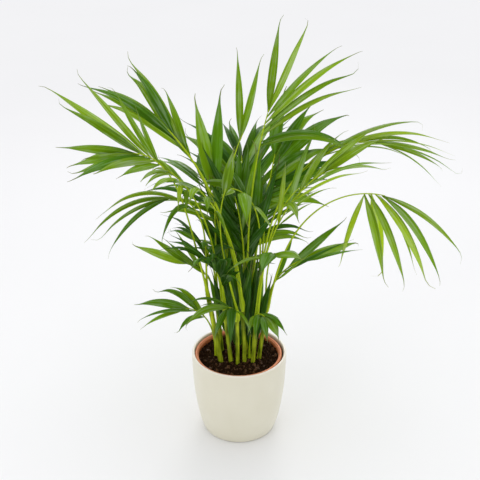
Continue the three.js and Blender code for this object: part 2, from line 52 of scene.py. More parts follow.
def add_object(name, data):
    """A new object in the scene, made from a mesh, a light or a camera."""
    made = bpy.data.objects.new(name, data)
    bpy.context.scene.collection.objects.link(made)
    return made


# %% [markdown]
# ## The camera
#
# The plant is seen from a little above, so that the soil shows inside the rim and the pot's foot looks
# smaller than its mouth. Setting the camera first means that every later piece can be judged in the final
# view. A 70 mm lens stands about a metre and a half away and looks down by 26 degrees.

# %% Camera
CAMERA_PLACE = Vector((0.0012, -1.176, 0.882))
LOOKS_DOWN_BY = 25.93
LENS = 70
FILM_WIDTH = 36

camera_data = bpy.data.cameras.new("view_camera")
camera_data.lens = LENS
camera_data.sensor_width = FILM_WIDTH
camera = add_object("view_camera", camera_data)
camera.location = CAMERA_PLACE
camera.rotation_euler = (math.radians(90 - LOOKS_DOWN_BY), 0, 0)
bpy.context.scene.camera = camera
print("camera", round(CAMERA_PLACE.length, 3), "m from the pot's foot")

# %% [markdown]
# ## Writing node trees as sums
#
# Both materials and Geometry Nodes are graphs of sockets. A small class that wraps a socket lets us write
# `1 - mask * 0.5` and get the Math nodes for it. Every other node comes from one method, `node`, which takes
# the node's type, then its settings, then the values or links of its sockets.


# %% A socket that understands arithmetic
class Wire:
    """An output socket in a tree. Sums of wires and numbers add Math nodes."""

    def __init__(self, graph, socket):
        self.graph = graph
        self.socket = socket

    def math(self, operation, *values):
        return self.graph.node("ShaderNodeMath", {"operation": operation}, dict(enumerate(values)))

    def __add__(self, other):
        return self.math("ADD", self, other)

    def __sub__(self, other):
        return self.math("SUBTRACT", self, other)

    def __rsub__(self, other):
        return self.math("SUBTRACT", other, self)

    def __mul__(self, other):
        return self.math("MULTIPLY", self, other)

    def __pow__(self, other):
        return self.math("POWER", self, other)

    __radd__ = __add__
    __rmul__ = __mul__


class Graph:
    """A node tree with one method that makes any node."""

    def __init__(self, tree):
        self.tree = tree

    def node(self, kind, settings=None, sockets=None, out=0):
        """Makes a node, sets it up, fills its inputs, and hands back one of its outputs."""
        made = self.tree.nodes.new(kind)
        for name, value in (settings or {}).items():
            if name == "points":
                self.set_points(made.mapping, value)
            else:
                setattr(made, name, value)
        for name, value in (sockets or {}).items():
            self.plug(made.inputs[name], value)
        return Wire(self, made.outputs[out])

    def plug(self, socket, value):
        if isinstance(value, Wire):
            self.tree.links.new(value.socket, socket)
        else:
            socket.default_value = value

    @staticmethod
    def set_points(mapping, places):
        points = mapping.curves[0].points
        while len(points) < len(places):
            points.new(0.5, 0.5)
        for point, place in zip(points, places):
            point.location = place
        mapping.update()


# %% [markdown]
# ## Starting a material
#
# Every finish here is a Principled shader whose colour, roughness and bump come from small patterns.
# `surface` makes the material and hands back the tree with its shader, so that each finish below is only a
# few lines. The other helpers make the patterns: `grain` for noise, `rise` and `near_top` for a change from
# one place to another, `tint` for a colour between two, and `relief` for a bump.


# %% Helpers for finishes
def surface(name, **constants):
    """A new material: its graph, and its Principled shader with constants such as Roughness set on it."""
    material = bpy.data.materials.new(name)
    material.use_nodes = True
    shader = material.node_tree.nodes["Principled BSDF"]
    for socket, value in constants.items():
        shader.inputs[socket.replace("_", " ")].default_value = value
    return material, Graph(material.node_tree), shader


def grain(graph, size, detail=3.0, stretch=(1, 1, 1), seed=0.0):
    """Noise between 0 and 1 with lumps of a size in metres, stretched along the axes."""
    place = graph.node("ShaderNodeTexCoord", out="Object")
    scaled = graph.node("ShaderNodeMapping", {}, {
        "Vector": place, "Location": (seed, seed, seed), "Scale": tuple(1 / (size * s) for s in stretch)})
    return graph.node("ShaderNodeTexNoise", {}, {"Vector": scaled, "Scale": 1.0, "Detail": detail})


def part_of(graph, vector, axis):
    """One number of a vector. The axis is 0, 1 or 2 for x, y or z."""
    return graph.node("ShaderNodeSeparateXYZ", {}, {0: vector}, out=axis)


def rise(graph, value, start, end, top=1.0):
    """A wire that goes from 0 to a top value while another goes from a start to an end."""
    return graph.node("ShaderNodeMapRange", {}, {
        "Value": value, "From Min": start, "From Max": end, "To Max": top})


def near_top(graph, top, start, end):
    """A wire that goes from 0 to 1 between two depths below a top, all in millimetres."""
    height = part_of(graph, graph.node("ShaderNodeTexCoord", out="Object"), 2)
    return rise(graph, height, (top - start) * MM, (top - end) * MM)


def tint(graph, first, second, share):
    """A colour between two, by a share from 0 to 1. Each colour is three numbers or a wire."""
    start, end = (colour if isinstance(colour, Wire) else (*colour, 1) for colour in (first, second))
    return graph.node("ShaderNodeMix", {"data_type": "RGBA"}, {"Factor": share, 6: start, 7: end}, out=2)


def relief(graph, shader, height, depth):
    """Feeds a height of a depth in metres into the shader's normal."""
    bump = graph.node("ShaderNodeBump", {}, {"Height": height, "Distance": depth, "Strength": 1.0})
    graph.plug(shader.inputs["Normal"], bump)


def grained(name, dark, light, size, detail, depth, stretch=(1, 1, 1), seed=0.0, **constants):
    """A finish of two colours mixed by one grain, which also gives the relief."""
    material, graph, shader = surface(name, **constants)
    pattern = grain(graph, size, detail, stretch, seed)
    graph.plug(shader.inputs["Base Color"], tint(graph, dark, light, pattern))
    relief(graph, shader, pattern, depth)
    return material


# %% [markdown]
# ## The ivory pot
#
# The pot is a plain glazed cover pot with a soft belly and a narrow rounded rim. A potter turns such a pot on
# a wheel, and so do we: one outline goes round the axis. The outline's heights and radii are those of the
# solid model, but it has many more points, because a coarse outline would show as flats in the highlight.

# %% The ivory pot's sizes in millimetres
POT_HEIGHT = 128
POT_RIM_RADIUS = 70
POT_FOOT_RADIUS = 54
POT_MARKS = [(POT_FOOT_RADIUS, 0), (60.5, 22), (67, 64), (69.6, 104), (POT_RIM_RADIUS, POT_HEIGHT)]
POT_WALL = 4
POT_FLOOR = 5
POT_FOOT_ROUND = 3
POT_FOOT_LEAN = 0.9
POT_FOOT_ROUND_END = -8
POT_LIP_ROUND = 2
POT_LIP_STEPS = 14
POT_STEPS = 60
print("ivory pot:", 2 * POT_RIM_RADIUS, "mm wide and", POT_HEIGHT, "mm high")


# %% Smooth lines and rounded edges
def spline(points, count):
    """Points along a smooth curve that passes through the marks."""
    last = len(points) - 1
    made = []
    for i in range(count + 1):
        place = i / count * last
        k = min(int(place), last - 1)
        t = place - k
        a, b, c, d = (Vector(points[min(max(k + j, 0), last)]) for j in (-1, 0, 1, 2))
        v0 = (c - a) / 2
        v1 = (d - b) / 2
        made.append((2 * b - 2 * c + v0 + v1) * t**3 + (3 * c - 3 * b - 2 * v0 - v1) * t**2 + v0 * t + b)
    return made


def arc(centre, radius, start, end, count=8):
    """Points on part of a circle, for rounded edges. Angles are in degrees from outwards to up."""
    angles = [math.radians(start + (end - start) * i / count) for i in range(count + 1)]
    return [Vector((centre[0] + radius * math.cos(a), centre[1] + radius * math.sin(a))) for a in angles]


# %% A lathe in a few lines
TURNED_SIDES = 160


def new_piece(name, points, faces, material, smooth_under=35):
    """A mesh piece at the origin from points in millimetres. Edges under an angle in degrees are smooth."""
    mesh = bpy.data.meshes.new(name)
    mesh.from_pydata([tuple(Vector(p) * MM) for p in points], [], faces)
    mesh.materials.append(material)
    mesh.shade_smooth()
    mesh.set_sharp_from_angle(angle=math.radians(smooth_under))
    return add_object(name, mesh)


def ring_points(radius, sides):
    """Points round a circle, anticlockwise, as pairs of x and y."""
    angles = [2 * math.pi * i / sides for i in range(sides)]
    return [(radius * math.cos(a), radius * math.sin(a)) for a in angles]


def turned(name, outline, material, shift=0.0, sides=TURNED_SIDES):
    """Turns an outline of (radius, height) about an upright axis. It starts and ends on the axis.

    The outline runs out along the bottom, up the outside and down the inside, so that faces point outwards.
    """
    points = [(shift, 0, outline[0][1])]
    for radius, height in outline[1:-1]:
        points += [(shift + x, y, height) for x, y in ring_points(radius, sides)]
    points.append((shift, 0, outline[-1][1]))
    faces = []
    rings = len(outline) - 2
    high = 1 + (rings - 1) * sides
    for i in range(sides):
        j = (i + 1) % sides
        faces.append((0, 1 + j, 1 + i))
        for low in range(1, high, sides):
            faces.append((low + i, low + j, low + sides + j, low + sides + i))
        faces.append((high + i, high + j, len(points) - 1))
    return new_piece(name, points, faces, material)


# %% [markdown]
# ## Ivory glaze
#
# A satin glaze is almost one colour, and that is why small things matter. Faint clouds lie deep in it, fine
# specks break the gloss, and a slow waviness bends the reflections, as fired clay is never quite true. The
# lip is painted paler and warmer than the wall: a painted highlight where its top faces up, tinted as a
# painted reflection of the orange rim.

# %% Ivory glaze
GLAZE_DARK = (0.715, 0.680, 0.535)
GLAZE_LIGHT = (0.785, 0.757, 0.625)
# The lip's painted highlight, warm as a painted reflection of the orange rim.
LIP_PAINTED_HIGHLIGHT = (0.93, 0.86, 0.77)
LIP_HIGHLIGHT_FROM = 1.8
LIP_HIGHLIGHT_AT = 0.4
CLOUD_SIZE = 0.045
SPECK_SIZE = 0.0011

ivory, graph, shader = surface("ivory_glaze", Roughness=0.34, Coat_Roughness=0.18, IOR=1.5)
clouds = grain(graph, CLOUD_SIZE, 2.0)
specks = grain(graph, SPECK_SIZE, 1.0, seed=4.0)
body = tint(graph, GLAZE_DARK, GLAZE_LIGHT, clouds)
# From 1.8 mm below the rim the colour turns to the lip's painted highlight and painted reflection.
lip_highlight = near_top(graph, POT_HEIGHT, LIP_HIGHLIGHT_FROM, LIP_HIGHLIGHT_AT)
graph.plug(shader.inputs["Base Color"], tint(graph, body, LIP_PAINTED_HIGHLIGHT, lip_highlight))
graph.plug(shader.inputs["Roughness"], 0.30 + 0.12 * specks)
graph.plug(shader.inputs["Coat Weight"], 0.15 + 0.1 * clouds)
relief(graph, shader, clouds + 0.02 * specks, 0.0006)
print("glaze made with", len(ivory.node_tree.nodes), "nodes")

# %% Turning the ivory pot
outer = spline(POT_MARKS, POT_STEPS)
lip_start = POT_HEIGHT - POT_LIP_ROUND
foot_centre = (POT_FOOT_RADIUS - POT_FOOT_ROUND + POT_FOOT_LEAN, POT_FOOT_ROUND)
pot_outline = [
    Vector((0, 0)),
    *arc(foot_centre, POT_FOOT_ROUND, -90, POT_FOOT_ROUND_END),
    *[p for p in outer if POT_FOOT_ROUND < p.y < lip_start],
    *arc((POT_RIM_RADIUS - POT_LIP_ROUND, lip_start), POT_LIP_ROUND, 0, 180, POT_LIP_STEPS),
    *[Vector((p.x - POT_WALL, p.y)) for p in reversed(outer) if POT_FLOOR < p.y < lip_start],
    Vector((POT_FOOT_RADIUS - POT_WALL, POT_FLOOR)),
    Vector((0, POT_FLOOR)),
]
pot = turned("ivory_pot", pot_outline, ivory)
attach(pot, "root")
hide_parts("cover_pot")
print("ivory pot:", len(pot.data.polygons), "faces")

# %% [markdown]
# ## The orange grow pot
#
# Inside stands the thin plastic pot that the palm was grown in. Only its rolled rim and a little of its inner
# wall show above the soil. It is round too, so the same lathe turns it from an outline of its own. The
# plastic is matt and faintly mottled, and its top is painted paler, a painted highlight on the lit rim.

# %% The grow pot's sizes in millimetres
GROW_X = -1
GROW_TOP = 125
GROW_RIM_DROP = 7
GROW_RIM_RADIUS = 64.4
GROW_RIM_ROUND = 1.4
GROW_LIP_RADIUS = 61.2
GROW_LIP_ROUND = 0.8
GROW_LIP_DEPTH = 2
GROW_LIP_STEP = 1.2
GROW_EDGE_ROUND = 0.6
GROW_BASE_RADIUS = 46
GROW_BASE_ROUND = 1
GROW_WALL = 1.4
GROW_FLOOR = 5.6
print("grow pot:", POT_HEIGHT - GROW_TOP, "mm below the ivory rim")

# %% Orange plastic
PLASTIC_DEEP = (0.52, 0.135, 0.035)
PLASTIC_PALE = (0.84, 0.31, 0.155)
# The depth below the top that is painted paler, as a painted highlight on the rim.
RIM_HIGHLIGHT_DEPTH = 5

orange, graph, shader = surface("orange_plastic", Roughness=0.5, Specular_IOR_Level=0.25)
mottle = grain(graph, 0.012, 3.0)
fine = grain(graph, 0.0006, 2.0, seed=2.0)
# The mottle is the plastic's own; the top 5 mm are painted paler, a painted highlight on the lit rim.
rim_highlight_and_mottle = 0.3 * mottle + 0.7 * near_top(graph, GROW_TOP, RIM_HIGHLIGHT_DEPTH, 0)
graph.plug(shader.inputs["Base Color"], tint(graph, PLASTIC_DEEP, PLASTIC_PALE, rim_highlight_and_mottle))
graph.plug(shader.inputs["Roughness"], 0.42 + 0.2 * fine)
relief(graph, shader, fine + mottle, 0.00012)
print("plastic made with", len(orange.node_tree.nodes), "nodes")


# %% Turning the grow pot
def grow_inside(z):
    """The inner radius of the grow pot's slanting wall at a height."""
    share = (z - GROW_FLOOR) / (GROW_TOP - GROW_FLOOR)
    return GROW_BASE_RADIUS + (GROW_LIP_RADIUS - GROW_LIP_STEP - GROW_BASE_RADIUS) * share


under = GROW_TOP - GROW_RIM_DROP
base_radius = grow_inside(GROW_FLOOR) + GROW_WALL
grow_outline = [
    Vector((0, GROW_FLOOR)),
    Vector((base_radius - GROW_BASE_ROUND, GROW_FLOOR)),
    Vector((base_radius, GROW_FLOOR + GROW_BASE_ROUND)),
    Vector((grow_inside(under) + GROW_WALL, under)),
    Vector((GROW_RIM_RADIUS - GROW_EDGE_ROUND, under)),
    Vector((GROW_RIM_RADIUS, under + GROW_EDGE_ROUND)),
    *arc((GROW_RIM_RADIUS - GROW_RIM_ROUND, GROW_TOP - GROW_RIM_ROUND), GROW_RIM_ROUND, 0, 90, 6),
    *arc((GROW_LIP_RADIUS + GROW_LIP_ROUND, GROW_TOP - GROW_LIP_ROUND), GROW_LIP_ROUND, 90, 180, 4),
    Vector((grow_inside(GROW_TOP - GROW_LIP_DEPTH), GROW_TOP - GROW_LIP_DEPTH)),
    Vector((grow_inside(GROW_FLOOR + GROW_WALL), GROW_FLOOR + GROW_WALL)),
    Vector((0, GROW_FLOOR + GROW_WALL)),
]
grow = turned("grow_pot_rim", grow_outline, orange, GROW_X)
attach(grow, "root")
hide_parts("grow_pot")
print("grow pot:", len(grow.data.polygons), "faces")

# %% [markdown]
# ## Soil
#
# Potting soil is a dark crumbly mix of peat and bark. Its surface gets a lumpy ground, and on it dark crumbs,
# brown bark chips and thin fibres. The ground is a round mesh pushed up and down by noise, with a skirt that
# closes it below. What lies on it comes from Geometry Nodes, which place many copies of one small shape at
# random turns and sizes. Real bits throw small shadows on each other, which a bump alone can't do.

# %% Soil finishes
PEAT_DARK = (0.0030, 0.0014, 0.0005)
PEAT_LIGHT = (0.044, 0.018, 0.006)
BARK_DARK = (0.014, 0.006, 0.002)
BARK_LIGHT = (0.16, 0.070, 0.024)

soil_dark = grained("soil_dark", PEAT_DARK, PEAT_LIGHT, size=0.003, detail=6.0, depth=0.0015,
                    Roughness=0.8, Specular_IOR_Level=0.06)
soil_bark = grained("soil_bark", BARK_DARK, BARK_LIGHT, size=0.0015, detail=4.0, depth=0.0005, seed=3.0,
                    Roughness=0.5, Specular_IOR_Level=0.2)
print("soil finishes:", soil_dark.name, "and", soil_bark.name)

# %% The lumpy ground
SOIL_TOP = 119
SOIL_RINGS = 46
SOIL_SIDES = 150
SOIL_CLEARANCE = 0.3
SOIL_SINK = 0.4
LUMP_HEIGHT = 1.3
BIG_LUMPS = 0.05
SMALL_LUMPS = 0.28
BOWL_FROM = 48
BOWL_WIDTH = 11
SKIRT_DEPTH = 8
SKIRT_INSET = 1


def soil_height(x, y):
    """Lumps of two sizes, from noise of three and four octaves, and a shallow drop near the rim."""
    big = noise.fractal(Vector((x, y, 0)) * BIG_LUMPS, 1.0, 2.0, 3)
    small = noise.fractal(Vector((x, y, 9)) * SMALL_LUMPS, 1.0, 2.0, 4)
    drop = max(0.0, math.hypot(x, y) - BOWL_FROM) / BOWL_WIDTH
    return SOIL_TOP - SOIL_SINK + LUMP_HEIGHT * big + LUMP_HEIGHT * small - drop


def soil_ground():
    reach = grow_inside(SOIL_TOP) - SOIL_CLEARANCE
    points = [(GROW_X, 0, soil_height(0, 0))]
    for r in range(1, SOIL_RINGS + 1):
        ring = ring_points(reach * r / SOIL_RINGS, SOIL_SIDES)
        points += [(GROW_X + x, y, soil_height(x, y)) for x, y in ring]
    skirt = len(points)
    bottom = SOIL_TOP - SKIRT_DEPTH
    points += [(GROW_X + x, y, bottom) for x, y in ring_points(reach - SKIRT_INSET, SOIL_SIDES)]
    points.append((GROW_X, 0, bottom))
    faces = []
    for i in range(SOIL_SIDES):
        j = (i + 1) % SOIL_SIDES
        faces.append((0, 1 + i, 1 + j))
        for low in range(1, skirt, SOIL_SIDES):
            faces.append((low + i, low + SOIL_SIDES + i, low + SOIL_SIDES + j, low + j))
        faces.append((skirt + i, len(points) - 1, skirt + j))
    return new_piece("soil_ground", points, faces, soil_dark, smooth_under=80)


ground = soil_ground()
print("soil:", len(ground.data.polygons), "faces")

# %% [markdown]
# ## A scattering tree
#
# The same tree scatters crumbs, chips and fibres, with different inputs. It picks points on the ground's
# upper faces, puts a small ball on each, turns and stretches it, makes the copies real and gives them their
# finish. The seed is fixed, so each run gives the same soil.


# %% Building Geometry Nodes trees
def new_tree(name, inputs):
    """A Geometry Nodes tree with named inputs: a list of (name, socket type, value)."""
    tree = bpy.data.node_groups.new(name, "GeometryNodeTree")
    tree.interface.new_socket("Geometry", in_out="INPUT", socket_type="NodeSocketGeometry")
    for label, kind, value in inputs:
        socket = tree.interface.new_socket(label, in_out="INPUT", socket_type="NodeSocket" + kind)
        if value is not None:
            socket.default_value = value
    tree.interface.new_socket("Geometry", in_out="OUTPUT", socket_type="NodeSocketGeometry")
    graph = Graph(tree)
    start = tree.nodes.new("NodeGroupInput")
    given = {socket.name: Wire(graph, socket) for socket in start.outputs if socket.name}
    return tree, graph, given


def end_tree(graph, geometry, material):
    """Makes copies real, gives them the finish and ends the tree."""
    real = graph.node("GeometryNodeRealizeInstances", {}, {"Geometry": geometry})
    finished = graph.node("GeometryNodeSetMaterial", {}, {"Geometry": real, "Material": material})
    end = graph.tree.nodes.new("NodeGroupOutput")
    graph.tree.links.new(finished.socket, end.inputs[0])
    print("tree", graph.tree.name, "has", len(graph.tree.nodes), "nodes")


def run_tree(source, tree, name, values):
    """Runs a tree on an object and keeps the result as a plain mesh piece of its own."""
    modifier = source.modifiers.new("grow", "NODES")
    modifier.node_group = tree
    for item in tree.interface.items_tree:
        if item.in_out == "INPUT" and item.name in values:
            modifier[item.identifier] = values[item.name]
    ready = source.evaluated_get(bpy.context.evaluated_depsgraph_get())
    mesh = bpy.data.meshes.new_from_object(ready)
    source.modifiers.remove(modifier)
    mesh.name = name
    return add_object(name, mesh)


# %% The scattering tree
FULL_TURN = 6.28
BIT_FLATNESS = 0.7
SIZE_SEED = 7

scatter_tree, graph, given = new_tree("scatter_bits", [
    ("Per square metre", "Float", 100000.0), ("Smallest", "Float", 0.0004), ("Largest", "Float", 0.0015),
    ("Stretch", "Float", 1.0), ("Seed", "Int", 1), ("Finish", "Material", None)])
faces_up = part_of(graph, graph.node("GeometryNodeInputNormal"), 2)
points = graph.node("GeometryNodeDistributePointsOnFaces", {}, {
    "Mesh": given["Geometry"], "Density": given["Per square metre"], "Seed": given["Seed"],
    "Selection": faces_up})
turn = graph.node("FunctionNodeRandomValue", {"data_type": "FLOAT_VECTOR"}, {
    0: (0, 0, 0), 1: (FULL_TURN, FULL_TURN, FULL_TURN), "Seed": given["Seed"]})
size = graph.node("FunctionNodeRandomValue", {"data_type": "FLOAT"}, {
    2: given["Smallest"], 3: given["Largest"], "Seed": given["Seed"] + SIZE_SEED}, out=1)
long_size = graph.node("ShaderNodeCombineXYZ", {}, {
    0: size * given["Stretch"], 1: size, 2: size * BIT_FLATNESS})
ball = graph.node("GeometryNodeMeshIcoSphere", {}, {"Radius": 1.0, "Subdivisions": 1})
copies = graph.node("GeometryNodeInstanceOnPoints", {}, {
    "Points": points, "Instance": ball, "Rotation": turn, "Scale": long_size})
end_tree(graph, copies, given["Finish"])

# %% Crumbs, chips and fibres
# Each row: copies per square metre, smallest and largest radius in metres, stretch, seed and finish.
SOIL_BITS = {
    "soil_crumbs": (150000.0, 0.0004, 0.0026, 1.4, 5, soil_dark),
    "soil_chips": (13000.0, 0.0012, 0.0032, 2.0, 8, soil_bark),
    "soil_fibres": (34000.0, 0.00035, 0.0008, 4.5, 11, soil_bark),
}
BIT_INPUTS = ("Per square metre", "Smallest", "Largest", "Stretch", "Seed", "Finish")
soil_pieces = [ground]
for name, row in SOIL_BITS.items():
    soil_pieces.append(run_tree(ground, scatter_tree, name, dict(zip(BIT_INPUTS, row))))
for piece in soil_pieces:
    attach(piece, "root")
    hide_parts("soil")
    print(piece.name, len(piece.data.polygons), "faces")

# %% [markdown]
# ## How the palm grows
#
# The stems stand in the soil, each at its own place and lean. A frond starts at the top of its stem. Its rib
# tilts more and more as it goes, by a power law, so it first stands and then arches. Leaflets sit in pairs
# along the rib's upper part. They open less towards its end, and sag towards their tips.
#
# The tables hold what differs from frond to frond, in degrees and millimetres. `length`, `lean` and `bend`
# draw the rib, `thick` is its radius at the root and `bare` its share without leaflets. `pairs`, `leaflet`
# and `width` count and size the leaflets, `shape` and `uneven` vary their length, and `side` keeps one side
# only. `spread`, `lift`, `skew`, `roll` and `pitch` turn them, and `droop` and `sag` bend them. `tone` and
# `fill` belong to the looks: the frond's green, and how many extra leaflets stand between two pairs. Tone 0,
# the darkest green, is painted shade for the fronds deep in the clump and the suckers, and tone 3 on
# `right_far`, `right_droop` and `right_front` is painted light shining through them.

# %% Stems
STEMS = {
    "a": dict(foot=(-27, -13), azimuth=188, lean=9, height=120, radius=(4.2, 3.8)),
    "b": dict(foot=(-12, -15), azimuth=190, lean=6, height=105, radius=(3.5, 3.3)),
    "c": dict(foot=(8, -17), azimuth=160, lean=2, height=95, radius=(3.4, 3.2)),
    "d": dict(foot=(-17, 33), azimuth=110, lean=2, height=110, radius=(3.6, 3.4)),
    "e": dict(foot=(9, 3), azimuth=60, lean=1, height=120, radius=(3.6, 3.4)),
    "f": dict(foot=(22, 8), azimuth=15, lean=5, height=100, radius=(3.5, 3.3)),
    "g": dict(foot=(29, -7), azimuth=355, lean=7, height=90, radius=(3.5, 3.3)),
    "h": dict(foot=(20, -18), azimuth=320, lean=4, height=72, radius=(3.5, 3.3)),
    "i": dict(foot=(5, 30), azimuth=80, lean=4, height=90, radius=(3.6, 3.4)),
    "j": dict(foot=(-26, 13), azimuth=160, lean=5, height=100, radius=(3.7, 3.4)),
    "k": dict(foot=(-2, -21), azimuth=262, lean=5, height=85, radius=(3.3, 3.1)),
    "l": dict(foot=(15, 20), azimuth=40, lean=2, height=105, radius=(3.4, 3.2)),
}
print(len(STEMS), "stems, up to", max(stem["height"] for stem in STEMS.values()), "mm high")

# %% Fronds
# The usual values of a frond, and those that the three young upright ones share.
FROND = dict(
    stem=None, thick=1.6, bend=1.6, bare=0.6, pairs=5, leaflet=120, width=12, spread=(40, 14), lift=5,
    droop=0.5, sag=0, skew=0, roll=0, pitch=28, shape=0.25, uneven=0, side=0, seed=1, tone=2, fill=1)
# Suckers take tone 0, painted shade low in the clump.
SUCKER = dict(
    bend=1, bare=0.3, pairs=3, width=16, spread=(12, 3), lift=0, droop=0, pitch=0, shape=0.1, tone=0)

